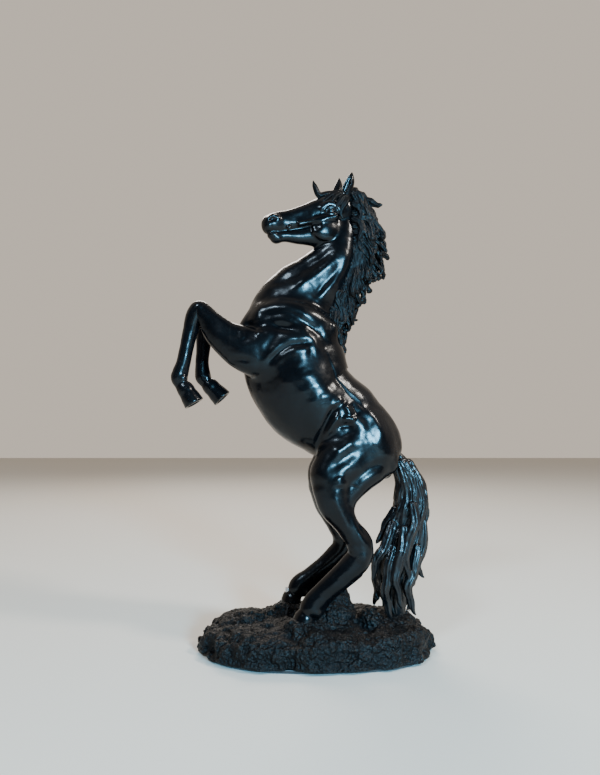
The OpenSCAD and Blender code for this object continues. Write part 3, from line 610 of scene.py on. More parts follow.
# ridges (+) and grooves (-) drawn on the side of the horse: [side, height, width, points in X-Z]
B = 0
STROKES = [
    # neck: crest ridge and the long muscle in front of it
    [B, 1.5, 4.0, [(24, 258), (21.5, 248), (17.6, 238), (11, 226), (4.2, 216), (0, 209)]],
    [B, 1.1, 3.6, [(17, 253), (12, 242), (3, 233), (-8, 225), (-18, 217.5)]],
    [B, -0.9, 3.0, [(14, 252), (5, 243), (-8, 234.5), (-20, 228), (-31.6, 222)]],
    [B, -0.8, 2.2, [(19, 244), (13, 233), (5, 223), (-3, 214)]],
    # where the neck sinks into the shoulder
    [B, -0.9, 2.8, [(-42, 202), (-37.5, 203.2), (-26, 204.2), (-14.4, 203.4), (-6.2, 198.4), (-0.4, 193.6), (4, 188)]],
    [B, 0.2, 4.0, [(-40, 208), (-27, 209.5), (-14, 209.5), (-4, 204), (3, 198)]],
    [B, 0.8, 3.4, [(-15, 199.6), (-9, 196), (-3.5, 189.6), (0.5, 183.5), (6.5, 173)]],
    [B, -0.55, 2.4, [(-46, 197), (-36.6, 198), (-26.2, 197), (-15.5, 194.6), (-10, 191.5)]],
    [B, 0.6, 3.2, [(-34, 191.5), (-26, 192.2), (-18.5, 190.4), (-11, 187.6)]],
    [B, -1.5, 2.3, [(1, 187.5), (-5.2, 185.8), (-14.3, 184.7), (-21.2, 180.6), (-26.9, 175), (-31.4, 169)]],
    [B, 0.5, 3.4, [(-16, 179.6), (-9.5, 180.8), (-3, 180.4)]],
    [B, 0.5, 2.0, [(-46, 195), (-44.6, 191), (-43.2, 187)]],
    [B, 0.5, 2.0, [(-35.6, 196.2), (-35, 193), (-34.1, 189)]],
    [B, -0.5, 2.8, [(-30, 188.5), (-28, 184), (-31, 178.5), (-37, 175)]],
    [B, -0.7, 1.8, [(-54, 174.4), (-45.4, 175.4), (-38.5, 173.8)]],
    # barrel
    [B, 0.40, 3.4, [(-26.5, 173.2), (-19.9, 165.2), (-14.4, 157.4)]],
    # flank
    [B, -1.8, 2.0, [(-1.5, 120), (1.5, 128.2), (7.2, 139.5), (12.4, 147.8), (16.3, 152)]],
    [B, 1.1, 1.9, [(4.5, 127.5), (10, 137), (14.8, 145)]],
    [B, 0.8, 2.0, [(9.6, 146.0), (13, 149.6), (17, 152.6)]],
    [B, 0.9, 2.1, [(16.4, 149.8), (18.6, 146.4), (21.4, 141)]],
    [B, -0.8, 2.1, [(20.6, 150.5), (23.2, 146), (26, 141)]],
    [B, 1.1, 1.8, [(14.6, 139.4), (19.2, 140.0), (24.6, 139.2)]],
    [B, -1.0, 1.6, [(11.2, 134.0), (16.8, 136.0), (23, 136.0)]],
    # haunch and thigh
    [B, 0.7, 3.2, [(26.5, 150), (32.2, 144), (36.2, 138.6), (39.6, 132), (40.8, 123)]],
    [B, -0.6, 3.4, [(25, 145.5), (30.5, 137.5), (33, 131.5), (34.6, 124.5)]],
    [B, -0.5, 2.8, [(10, 123), (19, 131), (26, 134.4)]],
    [B, 0.7, 3.6, [(7.6, 117.6), (15, 124.0), (24, 129.0)]],
    [B, -0.9, 3.6, [(4.5, 108), (13, 114), (20, 118.6), (28, 123.0)]],
    [B, 0.7, 3.0, [(12, 107), (13.4, 103.4), (14, 99.5)]],
    [B, -0.8, 2.8, [(43, 115.5), (31, 109.6), (24, 104.6), (18.5, 97)]],
    [B, -0.6, 2.4, [(17.4, 111), (19.4, 105), (18.6, 97), (19, 90), (21.8, 82)]],
    [B, 0.6, 1.8, [(23, 92.5), (21.8, 85), (22.8, 77), (27, 69), (31, 64)]],
    [B, 0.5, 2.2, [(9, 98), (12, 89), (16.5, 80), (20, 72)]],
]
for r in (0, 1, 2, 3):   # faint ribs
    STROKES.append([B, 0.16, 1.8, [(-27 + r * 6, 168 - r * 7), (-16 + r * 6, 170 - r * 6), (-4 + r * 6, 176 - r * 7)]])


def polydist(x, z, pts):
    best = np.full(len(x), 1e9)
    par = np.zeros(len(x))
    pts = catmull(np.array(pts, float), 4) if len(pts) > 2 else np.array(pts, float)
    L = np.linalg.norm(np.diff(pts, axis=0), axis=1)
    tot = L.sum()
    run = 0
    for i in range(len(pts) - 1):
        d = (pts[i + 1] - pts[i]) / L[i]
        ux, uz = x - pts[i][0], z - pts[i][1]
        t = np.clip(ux * d[0] + uz * d[1], 0, L[i])
        q = np.hypot(ux - t * d[0], uz - t * d[1])
        m = q < best
        best[m] = q[m]
        par[m] = (run + t[m]) / tot
        run += L[i]
    return best, par


def carve(P, N):
    """Height to add along the normal at each point."""
    H = np.zeros(len(P))
    for side, amp, w, pts in STROKES:
        a = np.array(pts, float)
        m = (P[:, 0] > a[:, 0].min() - 3 * w) & (P[:, 0] < a[:, 0].max() + 3 * w) & (P[:, 2] > a[:, 1].min() - 3 * w) & (P[:, 2] < a[:, 1].max() + 3 * w)
        if side:
            m &= P[:, 1] * side > 0
        m &= np.abs(N[:, 1]) > 0.15
        if not m.any():
            continue
        d, t = polydist(P[m, 0], P[m, 2], pts)
        fade = np.clip(np.minimum(t, 1 - t) * 3.2, 0, 1)
        fade = fade * fade * (3 - 2 * fade)
        face = np.clip((np.abs(N[m, 1]) - 0.15) / 0.4, 0, 1)
        H[m] += amp * np.exp(-(d / w) ** 2) * fade * face
    # the tool's touch: slow, shallow unevenness
    H += 0.22 * noise(P, 9.0, 3) + 0.10 * noise(P, 4.2, 4) + 0.035 * noise(P, 1.9, 5)
    return H


# ---------------------------------------------------------------- meshes
def to_object(name, P, Q, planes=(), keep=1, custom=True):
    """Points and quads in mm to a closed Blender object, cut and capped by planes (point, outward direction)."""
    N = normals(P, Q)
    me = bpy.data.meshes.new(name)
    me.vertices.add(len(P))
    me.vertices.foreach_set("co", (P * 0.001).astype(f32).ravel())
    me.loops.add(Q.size)
    me.loops.foreach_set("vertex_index", Q.astype(np.int32).ravel())
    me.polygons.add(len(Q))
    me.polygons.foreach_set("loop_start", np.arange(0, Q.size, 4, dtype=np.int32))
    me.update(calc_edges=True)
    at = me.attributes.new("nrm", "FLOAT_VECTOR", "POINT")
    at.data.foreach_set("vector", N.astype(f32).ravel())
    if planes:
        bm = bmesh.new()
        bm.from_mesh(me)
        for co, no in planes:
            r = bmesh.ops.bisect_plane(bm, geom=bm.verts[:] + bm.edges[:] + bm.faces[:], plane_co=Vector(co) * 0.001, plane_no=Vector(no), clear_outer=True, dist=1e-7)
            cut = [e for e in r["geom_cut"] if isinstance(e, bmesh.types.BMEdge)]
            f = bmesh.ops.holes_fill(bm, edges=cut, sides=0)
            n = Vector(no).normalized()
            for face in f["faces"]:
                face.normal_update()
                if face.normal.dot(n) < 0:
                    face.normal_flip()
                face.material_index = 0
                face.smooth = False
        bm.to_mesh(me)
        bm.free()
    me.update()
    n = len(me.polygons)
    size = np.zeros(n, np.int32)
    me.polygons.foreach_get("loop_total", size)
    smooth = size <= 6
    me.polygons.foreach_set("use_smooth", smooth)
    if custom:
        vn = np.zeros(len(me.vertices) * 3, f32)
        me.attributes["nrm"].data.foreach_get("vector", vn)
        vn = vn.reshape(-1, 3)
        vi = np.zeros(len(me.loops), np.int32)
        me.loops.foreach_get("vertex_index", vi)
        ln = vn[vi]
        ln /= np.maximum(np.linalg.norm(ln, axis=1), 1e-6)[:, None]
        for i in np.nonzero(~smooth)[0]:
            p = me.polygons[int(i)]
            ln[p.loop_start:p.loop_start + p.loop_total] = np.array(p.normal)
        me.normals_split_custom_set(ln.tolist())
    me.attributes.remove(me.attributes["nrm"])
    ob = bpy.data.objects.new(name, me)
    bpy.context.scene.collection.objects.link(ob)
    return ob


SPL = catmull(SPINE, 2)
NECK_AT = (-8.0, 0.0, 221.0)
NECK_DIR = tuple(unit([-0.458, 0, -0.889]))
BODY = {
    "torso": dict(lo=(-55, -31, 82), hi=(57, 31, 237), h=0.62, planes=[((-52, 0, 190), (-1, 0, 0)), ((14, 0, 88.5), (0.25, 0, -0.97)), (NECK_AT, tuple(-np.array(NECK_DIR)))]),
    "neck_and_head": dict(lo=(-42, -20, 206), hi=(36, 20, 306), h=0.42, planes=[(NECK_AT, NECK_DIR)]),
    "left_foreleg": dict(lo=(-93, -28, 141), hi=(-49, -2, 218), h=0.42, planes=[((-52, 0, 190), (1, 0, 0))]),
    "right_foreleg": dict(lo=(-86, 2, 141), hi=(-49, 28, 218), h=0.42, planes=[((-52, 0, 190), (1, 0, 0))]),
    "left_hind_leg": dict(lo=(-22, -31, 16), hi=(46, -4, 97), h=0.46, planes=[((14, 0, 88.5), (-0.25, 0, 0.97)), ((0, 0, 19), (0, 0, -1))]),
    "right_hind_leg": dict(lo=(-30, 2, 16), hi=(38, 30, 97), h=0.46, planes=[((14, 0, 88.5), (-0.25, 0, 0.97)), ((0, 0, 19), (0, 0, -1))]),
}
PIECES = {}
for name, b in BODY.items():
    g = Grid(b["lo"], b["hi"], b["h"])
    horse(g)
    P, Q = nets(g, 2)
    P, Q = largest(P, Q)
    N = normals(P, Q)
    P = P + N * carve(P, N)[:, None]
    PIECES[name] = to_object(name + "_bronze", P, Q, b["planes"])
    del g

# ---------------------------------------------------------------- hair
rng = np.random.default_rng(11)


def lock(grid, pts, r0, r1, k=0.5, m=6, amp=0.10, lat=(0, 1, 0), flat=0.75, wave=1.0, seed=0, period=2.4):
    """A tapering, fluted lock of hair along given points."""
    r = np.random.default_rng(seed)
    C = catmull(np.array(pts, float), 6)
    n = len(C)
    t = np.linspace(0, 1, n)
    d = np.gradient(C, axis=0)
    d /= np.linalg.norm(d, axis=1)[:, None]
    side = np.cross(d, (0, 1, 0))
    ph = r.uniform(0, 6.28)
    L = np.linalg.norm(np.diff(C, axis=0), axis=1).sum()
    C = C + side * (wave * np.sin(t * L / period + ph) * np.clip(t * 3, 0, 1))[:, None]
    C[:, 1] += wave * 0.8 * np.cos(t * L / (period * 1.13) + ph) * np.clip(t * 3, 0, 1)
    prof = np.interp(t, [0, 0.12, 0.45, 0.8, 1], [0.8, 1.0, 1.0, 0.62, 0.0])
    R = r1 + (r0 - r1) * prof
    st = np.column_stack([C, R, R * flat])
    sweep(grid, st, k=k, n=1, flute=(amp, m, ph, r.uniform(-0.12, 0.12)), lat=lat, pad=1.6)


def curve_at(pts, t):
    pts = np.asarray(pts, float)
    L = np.r_[0, np.cumsum(np.linalg.norm(np.diff(pts, axis=0), axis=1))]
    s = t * L[-1]
    return np.array([np.interp(s, L, pts[:, i]) for i in range(pts.shape[1])])


# mane: root line along the crest, then where the tips reach
ROOT = [(19, 288), (25, 279), (26.5, 268), (25.5, 257), (22.5, 245), (18, 233), (13, 222), (8, 212), (4, 204)]
TIP = [(34, 281), (41, 275), (44.5, 262), (46, 248), (43.5, 235), (34, 222), (27, 209), (20.5, 196), (17.5, 181)]
g = Grid((-4, -15, 168), (50, 22, 298), 0.42)
for s_ in ((-3.2, 0), (1.5, 1), (6.5, 2)):
    yy, layer = s_
    sweep(g, [[x + 5, yy + 1, z, 5.5, 5.5 if layer == 1 else 3.0] for x, z in ROOT[:-1]] + [[12, yy + 1, 198, 4.0, 3.0]], k=2.5, n=4)
n_l = 0
for layer, (y0, count, reach, drop) in enumerate([(7.0, 22, 0.90, 9), (2.6, 26, 1.0, 11), (-1.6, 26, 0.95, 12), (-4.6, 26, 0.74, 13)]):
    for i in range(count):
        t = (i + rng.uniform(0.0, 0.8)) / count
        a = curve_at(ROOT, t)
        tb = min(t + drop / 125.0 + rng.uniform(0.0, 0.05), 1.0)
        b = curve_at(TIP, tb)
        b = a + (b - a) * reach * rng.uniform(0.80, 1.05)
        mid = (a + b) / 2 + np.array([rng.uniform(0.5, 3.2), rng.uniform(1, 5)])
        q1 = a * 0.7 + mid * 0.3 + np.array([1.2, 1.2])
        ya = y0 * 0.6
        yb = y0 + rng.uniform(-1.4, 1.4)
        end = b + np.array([rng.uniform(-3.0, 2.0), -rng.uniform(1, 5)])
        pts = [(a[0] - 1, ya - (1.2 if layer == 3 else 0), a[1]), (q1[0], (ya + yb) / 2, q1[1]), (mid[0], yb, mid[1]), (b[0], yb + rng.uniform(-1, 1), b[1]), (end[0], yb + rng.uniform(-1.5, 1.5), end[1])]
        lock(g, pts, rng.uniform(1.6, 2.5), 0.2, k=0.2, m=rng.integers(5, 8), amp=0.24, wave=rng.uniform(0.9, 1.8), seed=100 + n_l, period=rng.uniform(1.6, 2.5))
        n_l += 1
# flicked tips and the long last lock
lock(g, [(30, 1, 284), (36, 0, 284), (40.5, -1, 280.5), (44.5, -2, 280.2)], 2.4, 0.3, seed=301, wave=0.3)
lock(g, [(24, 0, 287), (29, 0, 288), (33, 0, 286), (36, 0, 281)], 2.4, 0.3, seed=302, wave=0.5)
lock(g, [(24, -4, 285), (28, -5, 286), (31.5, -5, 282), (32, -5, 276)], 2.2, 0.3, seed=306, wave=0.6)
lock(g, [(24, -5, 280), (28, -6, 278), (30, -6, 272), (29, -6, 266)], 2.2, 0.3, seed=307, wave=0.6)
lock(g, [(25, -5, 270), (29, -6.4, 267), (30, -6.6, 260), (28, -6.6, 254)], 2.2, 0.3, seed=308, wave=0.6)
lock(g, [(9, 1, 210), (15, 2, 200), (17.2, 2, 191), (15.0, 1, 183), (16, 0, 177)], 3.0, 0.3, seed=303, wave=0.7)
lock(g, [(7, -4, 212), (11, -5, 202), (13, -4.5, 193), (12.5, -3.5, 184)], 2.8, 0.3, seed=304, wave=0.7)
lock(g, [(6, 6, 208), (11, 7, 198), (13, 6.5, 188), (14, 5, 180)], 2.8, 0.3, seed=305, wave=0.7)
body = Grid((-4, -15, 168), (50, 22, 298), 0.42)
horse(body)
g.F = smax(g.F, -(body.F + 0.35), 0.15)
del body
P, Q = nets(g, 1)
P, Q = largest(P, Q)
N = normals(P, Q)
P = P + N * (0.30 * noise(P * np.array([1, 1, 0.6]), 2.1, 8) + 0.14 * noise(P * np.array([1, 1, 0.4]), 1.0, 9))[:, None]
PIECES["mane"] = to_object("mane_bronze", P, Q)

# forelock
g = Grid((-6, -15, 264), (28, 12, 299), 0.34)
for i, (pts, r0) in enumerate([
        ([(22, -1, 287), (15, -2, 287.6), (8, -4, 286.2), (3.4, -5.5, 285.4), (0.8, -6, 289), (-0.4, -6, 292), (-0.6, -6, 295)], 2.2),
        ([(22, 0.5, 287), (15, 0, 287.6), (8, -1.5, 285.8), (3, -3, 283.6), (0, -4, 282)], 2.1),
        ([(22, -2, 287), (16, -5, 287), (10, -8, 284), (6.5, -9.6, 280.5), (4.5, -10.4, 277.5)], 1.9),
        ([(22, -2.5, 287), (18, -6, 286), (13.5, -9, 283), (11, -10.6, 279.5), (8.5, -11.2, 277)], 1.8),
        ([(23, -4, 286), (19, -8, 283), (16, -10, 279), (13.5, -10.8, 275.5), (13.5, -10.8, 271.5)], 1.8),
        ([(23, -4, 285), (20.5, -8.4, 281), (18.5, -9.8, 276.5), (16.5, -10, 272), (17.5, -9.8, 268)], 1.8),
        ([(22, 2, 287), (14, 2.5, 287.4), (7, 1.6, 285.2), (3, 0.6, 282.8)], 2.0),
        ([(22, 3, 286.5), (15, 5.4, 286), (9, 6.4, 283.4), (6, 6.6, 280.5)], 1.8)]):
    lock(g, pts, r0, 0.3, k=0.4, m=5, amp=0.12, wave=0.25, seed=400 + i)
body = Grid((-6, -15, 264), (28, 12, 299), 0.34)
horse(body)
g.F = smax(g.F, -(body.F + 0.3), 0.1)
del body
P, Q = nets(g, 1)
P, Q = largest(P, Q)
PIECES["forelock"] = to_object("forelock_bronze", P, Q)

# tail: centre line and half width at each height
TAILC = [(48, 0, 120, 4.4), (54, 0.5, 114.5, 5.2), (59.6, 1.5, 104, 7.4), (61.4, 2.4, 93, 9.2), (59.6, 3, 82, 10.8), (56.4, 3.2, 71, 11.6), (53.3, 3.2, 60, 12.2), (51, 3, 49, 12.4), (49.5, 3, 38, 11.6), (49.5, 3, 27, 9.6), (51, 3, 17, 6.5)]
g = Grid((30, -14, 13), (78, 20, 124), 0.42)
sweep(g, [[x, y, z, w * 0.72, w * 0.5] for x, y, z, w in TAILC], k=2, n=4)
n_l = 0
for ring_, (frac, count) in enumerate([(0.84, 24), (0.52, 12)]):
    for i in range(count):
        th = 2 * math.pi * (i + 0.5 * ring_) / count
        t0 = rng.uniform(0.0, 0.10) if ring_ else rng.uniform(0.0, 0.22)
        t1 = rng.uniform(0.80, 1.0)
        ts = np.linspace(t0, t1, 7)
        pts = []
        tw = rng.uniform(-0.5, 0.5)
        for j, t in enumerate(ts):
            c = curve_at(TAILC, t)
            w = c[3] * frac * (0.5 if t < 0.06 else 1)
            a = th + tw * (t - t0)
            pts.append((c[0] + w * math.cos(a), c[1] + w * 0.74 * math.sin(a), c[2] + rng.uniform(-0.6, 0.6)))
        lock(g, pts, rng.uniform(2.0, 3.0), 0.4, k=0.35, m=rng.integers(6, 9), amp=0.16, wave=rng.uniform(0.5, 1.3), seed=500 + n_l, period=rng.uniform(2.6, 4.0))
        n_l += 1
# loose tips on both edges
for i, pts in enumerate([
        [(66, 0, 80), (67, -1, 66), (63, -2, 54), (63, -2, 47), (67, -2, 43.5)],
        [(64, 4, 76), (63, 6, 62), (60, 7, 50), (61.5, 8, 40), (60, 8, 33)],
        [(48, -2, 76), (44, -5, 66), (39, -6, 58), (35.5, -6, 50), (35, -5, 42)],
        [(50, 2, 84), (46, 2, 76), (42, 1, 70), (38, 0, 63)],
        [(62, -4, 62), (60, -6, 50), (56, -7, 40), (57, -7, 30), (60.5, -6, 22)],
        [(48, -6, 62), (44, -8, 50), (42, -8, 38), (43, -7, 27), (47, -6, 18)],
        [(54, -8, 74), (52, -10, 60), (48, -10, 48), (49, -9, 36), (52, -8, 26)],
        [(60, -6, 88), (60, -9, 76), (55, -10, 64), (54.5, -9, 52), (57, -8, 42)],
        [(46, 8, 62), (41, 9, 50), (39, 9, 40), (39, 8, 30), (36.5, 7, 24)]]):
    lock(g, pts, 3.0, 0.3, k=0.4, m=6, amp=0.13, wave=0.5, seed=600 + i)
body = Grid((30, -14, 13), (78, 20, 124), 0.42)
horse(body)
g.F = smax(g.F, -(body.F + 0.35), 0.15)
del body
P, Q = nets(g, 1)
P, Q = largest(P, Q)
N = normals(P, Q)
P = P + N * (0.22 * noise(P * np.array([1, 1, 0.45]), 2.2, 18) + 0.12 * noise(P * np.array([1, 1, 0.3]), 1.0, 19))[:, None]
PIECES["tail"] = to_object("tail_bronze", P, Q, [((0, 0, 17), (0, 0, -1))])

# ---------------------------------------------------------------- rock base
g = Grid((-76, -42, 0.5), (76, 42, 44), 0.58)
W = tuple(slice(0, n) for n in g.n)
X, Y, Z = g.axes(W)
PP = np.stack(np.broadcast_arrays(X, Y, Z), -1).astype(f32)
ang = np.arctan2(Y / 38, X / 73)
edge = (np.abs((X + 0.2) / 68.0) ** 2.5 + np.abs(Y / 38.2) ** 2.5) ** (1 / 2.5)
wob = noise(PP * np.array([1, 1, 0.4], f32), 17.0, 21) * 0.045 + noise(PP, 8.0, 22) * 0.03
top = 18.0 + 0.012 * X + 2.0 * noise(PP * np.array([1, 1, 0], f32), 14.0, 23) - 2.6 * np.clip(np.abs(X / 70) ** 3, 0, 1.2)
side = (edge + wob - 1 + 0.10 * np.clip((Z - 8) / 12, 0, 1) ** 2 - 0.022 * np.clip((6 - Z) / 5, 0, 1)) * 36
roof = Z - top
F = smax(side, roof, 7.0)
g.F = F.astype(f32)
blob(g, (9, -3, 21), (14, 13, 13), k=5)
blob(g, (11.5, -2, 31), (8, 7.5, 7.5), k=3)
blob(g, (-8, -18, 17), (12, 10, 8), k=4)
blob(g, (-17, 15, 18), (12, 10, 8), k=4)
blob(g, (33, -6, 19), (7, 8, 8), k=3)
blob(g, (48, 3, 14.6), (13, 12, 8.6), k=5)
blob(g, (-44, 8, 15), (14, 12, 7), k=6)


def cells(P, size, seed):
    """Distance to the nearest of a field of scattered points, in units of size."""
    r = np.random.default_rng(seed).random((24, 24, 24, 3))
    q = P / size
    i = np.floor(q).astype(np.int64)
    best = np.full(P.shape[:-1], 9.0)
    for dx in (-1, 0, 1):
        for dy in (-1, 0, 1):
            for dz in (-1, 0, 1):
                j = i + np.array([dx, dy, dz])
                c = j + 0.1 + 0.8 * r[j[..., 0] % 24, j[..., 1] % 24, j[..., 2] % 24]
                best = np.minimum(best, ((q - c) ** 2).sum(-1))
    return np.sqrt(best)


R = (1.15 * noise(PP, 7.5, 31) + 0.95 * noise(PP, 4.0, 32) + 0.5 * (1 - 2 * np.abs(noise(PP, 5.0, 35))) - 0.3).astype(f32)
g.F = g.F - R * np.clip(Z / 2.5, 0, 1)
g.F = smax(g.F, f32(1.5) - Z, 0.4)
del PP, R
P, Q = nets(g, 1)
P, Q = largest(P, Q)
N = normals(P, Q)
low = np.clip((P[:, 2] - 1.6) / 1.5, 0, 1)
P = P + N * (low * (0.8 * (0.62 - cells(P, 2.7, 51)) + 0.5 * (0.6 - cells(P, 1.5, 52)) + 0.35 * noise(P, 1.1, 53)))[:, None]
PIECES["rock"] = to_object("rock_bronze", P, Q, [((0, 0, 1.5), (0, 0, -1))])

# ---------------------------------------------------------------- felt
ring_pts = []
for i in range(240):
    a = 2 * math.pi * i / 240
    c, s = math.cos(a), math.sin(a)
    r = (abs(c / 66.4) ** 2.5 + abs(s / 36.8) ** 2.5) ** (-1 / 2.5)
    w = 1 + 0.006 * math.sin(a * 3 + 1) + 0.004 * math.sin(a * 7)
    ring_pts.append((c * r * w, s * r * w))
prof = [(0.0, 0.35), (0.0, 0.0), (0.0, 0.0), (0.35, 0.0), (1.2, 0.0), (1.5, 0.25)]
me = bpy.data.meshes.new("felt")
bm = bmesh.new()
rows = []
for z, inset in [(0.0, 0.45), (0.15, 0.12), (0.45, 0.0), (1.1, 0.0), (1.4, 0.12), (1.5, 0.45)]:
    row = []
    for i, (x, y) in enumerate(ring_pts):
        d = math.hypot(x, y)
        j = 0.10 * math.sin(i * 2.7) * math.sin(i * 1.13)
        k = (d - inset + (j if 0.1 < z < 1.4 else 0)) / d
        row.append(bm.verts.new((x * k * 0.001, y * k * 0.001, z * 0.001)))
    rows.append(row)
for a, b in zip(rows, rows[1:]):
    for i in range(len(a)):
        j = (i + 1) % len(a)
        bm.faces.new((a[i], a[j], b[j], b[i]))
bm.faces.new(list(reversed(rows[0])))
bm.faces.new(rows[-1])
bm.normal_update()
for f in bm.faces:
    f.smooth = len(f.verts) == 4
bm.to_mesh(me)
bm.free()
felt = bpy.data.objects.new("felt_pad", me)
bpy.context.scene.collection.objects.link(felt)
PIECES["felt"] = felt


# ---------------------------------------------------------------- materials
def node_mat(name):
    m = bpy.data.materials.new(name)
    m.use_nodes = True
    nt = m.node_tree
    for n in list(nt.nodes):
        if n.type not in {"BSDF_PRINCIPLED", "OUTPUT_MATERIAL"}:
            nt.nodes.remove(n)
    return m, nt, nt.nodes["Principled BSDF"]


def nz(nt, scale, detail=4.0, rough=0.5, dist=0.0, vec=None):
    n = nt.nodes.new("ShaderNodeTexNoise")
    n.inputs["Scale"].default_value = scale
    n.inputs["Detail"].default_value = detail
    n.inputs["Roughness"].default_value = rough
    n.inputs["Distortion"].default_value = dist
    if vec:
        nt.links.new(vec, n.inputs["Vector"])
    return n


def ramp(nt, fac, stops):
    r = nt.nodes.new("ShaderNodeValToRGB")
    e = r.color_ramp.elements
    while len(e) < len(stops):
        e.new(0.5)
    for el, (p, c) in zip(e, stops):
        el.position = p
        el.color = c if len(c) == 4 else (*c, 1)
    nt.links.new(fac, r.inputs["Fac"])
    return r


def mapped(nt, fac, lo, hi, a=0.35, b=0.65):
    m = nt.nodes.new("ShaderNodeMapRange")
    m.inputs["From Min"].default_value = a
    m.inputs["From Max"].default_value = b
    m.inputs["To Min"].default_value = lo
    m.inputs["To Max"].default_value = hi
    nt.links.new(fac, m.inputs["Value"])
    return m.outputs["Result"]


def bump(nt, height, strength, dist, prev=None):
    b = nt.nodes.new("ShaderNodeBump")
    b.inputs["Strength"].default_value = strength
    b.inputs["Distance"].default_value = dist
    nt.links.new(height, b.inputs["Height"])
    if prev:
        nt.links.new(prev, b.inputs["Normal"])
    return b.outputs["Normal"]


def patina(name, dark, light, r_lo, r_hi, wear, grain, spec=0.45):
    m, nt, bs = node_mat(name)
    tc = nt.nodes.new("ShaderNodeTexCoord").outputs["Object"]
    big = nz(nt, 38, 5, 0.55, 0.6, tc)
    col = ramp(nt, big.outputs["Fac"], [(0.30, dark), (0.52, tuple((a + b) / 2 for a, b in zip(dark, light))), (0.72, light)])
    # worn high points, where hands and cloths have rubbed the patina thin
    geo = nt.nodes.new("ShaderNodeNewGeometry")
    edge = ramp(nt, geo.outputs["Pointiness"], [(0.50, (0, 0, 0)), (0.60, (1, 1, 1))])
    spots = nz(nt, 210, 6, 0.6, 0, tc)
    worn = nt.nodes.new("ShaderNodeMath")
    worn.operation = "MULTIPLY"
    nt.links.new(edge.outputs["Color"], worn.inputs[0])
    nt.links.new(mapped(nt, spots.outputs["Fac"], 0.2, 1.0, 0.4, 0.65), worn.inputs[1])
    amt = nt.nodes.new("ShaderNodeMath")
    amt.operation = "MULTIPLY"
    amt.inputs[1].default_value = wear
    nt.links.new(worn.outputs[0], amt.inputs[0])
    mix = nt.nodes.new("ShaderNodeMix")
    mix.data_type = "RGBA"
    nt.links.new(amt.outputs[0], mix.inputs["Factor"])
    nt.links.new(col.outputs["Color"], mix.inputs["A"])
    mix.inputs["B"].default_value = (0.040, 0.030, 0.022, 1)
    nt.links.new(mix.outputs["Result"], bs.inputs["Base Color"])
    ro = nz(nt, 75, 6, 0.6, 0.3, tc)
    nt.links.new(mapped(nt, ro.outputs["Fac"], r_lo, r_hi, 0.32, 0.68), bs.inputs["Roughness"])
    bs.inputs["Metallic"].default_value = 0.0
    bs.inputs["Specular IOR Level"].default_value = spec
    bs.inputs["Coat Weight"].default_value = 0.0
    n1 = bump(nt, nz(nt, 260, 5, 0.6, 0, tc).outputs["Fac"], grain, 0.0006)
    n2 = bump(nt, nz(nt, 1400, 4, 0.6, 0, tc).outputs["Fac"], grain * 0.8, 0.00022, n1)
    nt.links.new(n2, bs.inputs["Normal"])
    return m


BRONZE = patina("dark_bronze", (0.0006, 0.0008, 0.0012), (0.0024, 0.0025, 0.0033), 0.17, 0.27, 0.30, 0.08, 0.22)
TAILM = patina("dark_bronze_tail", (0.0010, 0.0012, 0.0018), (0.0040, 0.0040, 0.0050), 0.24, 0.38, 0.40, 0.20, 0.36)
HAIRM = patina("dark_bronze_hair", (0.0006, 0.0007, 0.0010), (0.0024, 0.0024, 0.0030), 0.34, 0.52, 0.35, 0.30, 0.13)
ROCKM = patina("rock_bronze", (0.0006, 0.0006, 0.0008), (0.0030, 0.0029, 0.0034), 0.30, 0.55, 0.40, 0.60, 0.18)

m, nt, bs = node_mat("felt")
tc = nt.nodes.new("ShaderNodeTexCoord").outputs["Object"]
c = nz(nt, 900, 6, 0.7, 0.5, tc)
nt.links.new(ramp(nt, c.outputs["Fac"], [(0.3, (0.010, 0.010, 0.011)), (0.7, (0.035, 0.034, 0.036))]).outputs["Color"], bs.inputs["Base Color"])
bs.inputs["Roughness"].default_value = 0.95
bs.inputs["Sheen Weight"].default_value = 0.5
nt.links.new(bump(nt, nz(nt, 1800, 6, 0.7, 0, tc).outputs["Fac"], 0.6, 0.0003), bs.inputs["Normal"])
FELTM = m


def metal(name, col, r_lo, r_hi):
    m, nt, bs = node_mat(name)
    tc = nt.nodes.new("ShaderNodeTexCoord").outputs["Object"]
    a = nz(nt, 300, 5, 0.6, 0.2, tc)
    nt.links.new(ramp(nt, a.outputs["Fac"], [(0.3, tuple(v * 0.8 for v in col)), (0.7, col)]).outputs["Color"], bs.inputs["Base Color"])
    nt.links.new(mapped(nt, nz(nt, 700, 5, 0.6, 0, tc).outputs["Fac"], r_lo, r_hi), bs.inputs["Roughness"])
    bs.inputs["Metallic"].default_value = 1.0
    nt.links.new(bump(nt, nz(nt, 2200, 4, 0.5, 0, tc).outputs["Fac"], 0.15, 0.0001), bs.inputs["Normal"])
    return m


BAREM = metal("bare_bronze", (0.50, 0.33, 0.15), 0.25, 0.4)
STEELM = metal("steel", (0.56, 0.56, 0.58), 0.22, 0.38)


# crumbled stone: small pits and grains over the whole rock
nt = ROCKM.node_tree
bs = nt.nodes["Principled BSDF"]
tc = nt.nodes.new("ShaderNodeTexCoord").outputs["Object"]
vo = nt.nodes.new("ShaderNodeTexVoronoi")
vo.inputs["Scale"].default_value = 620
nt.links.new(tc, vo.inputs["Vector"])
prev = bs.inputs["Normal"].links[0].from_socket
n3 = bump(nt, vo.outputs["Distance"], 0.9, 0.0009, prev)
n4 = bump(nt, nz(nt, 900, 6, 0.7, 0.3, tc).outputs["Fac"], 0.8, 0.0005, n3)
nt.links.new(n4, bs.inputs["Normal"])

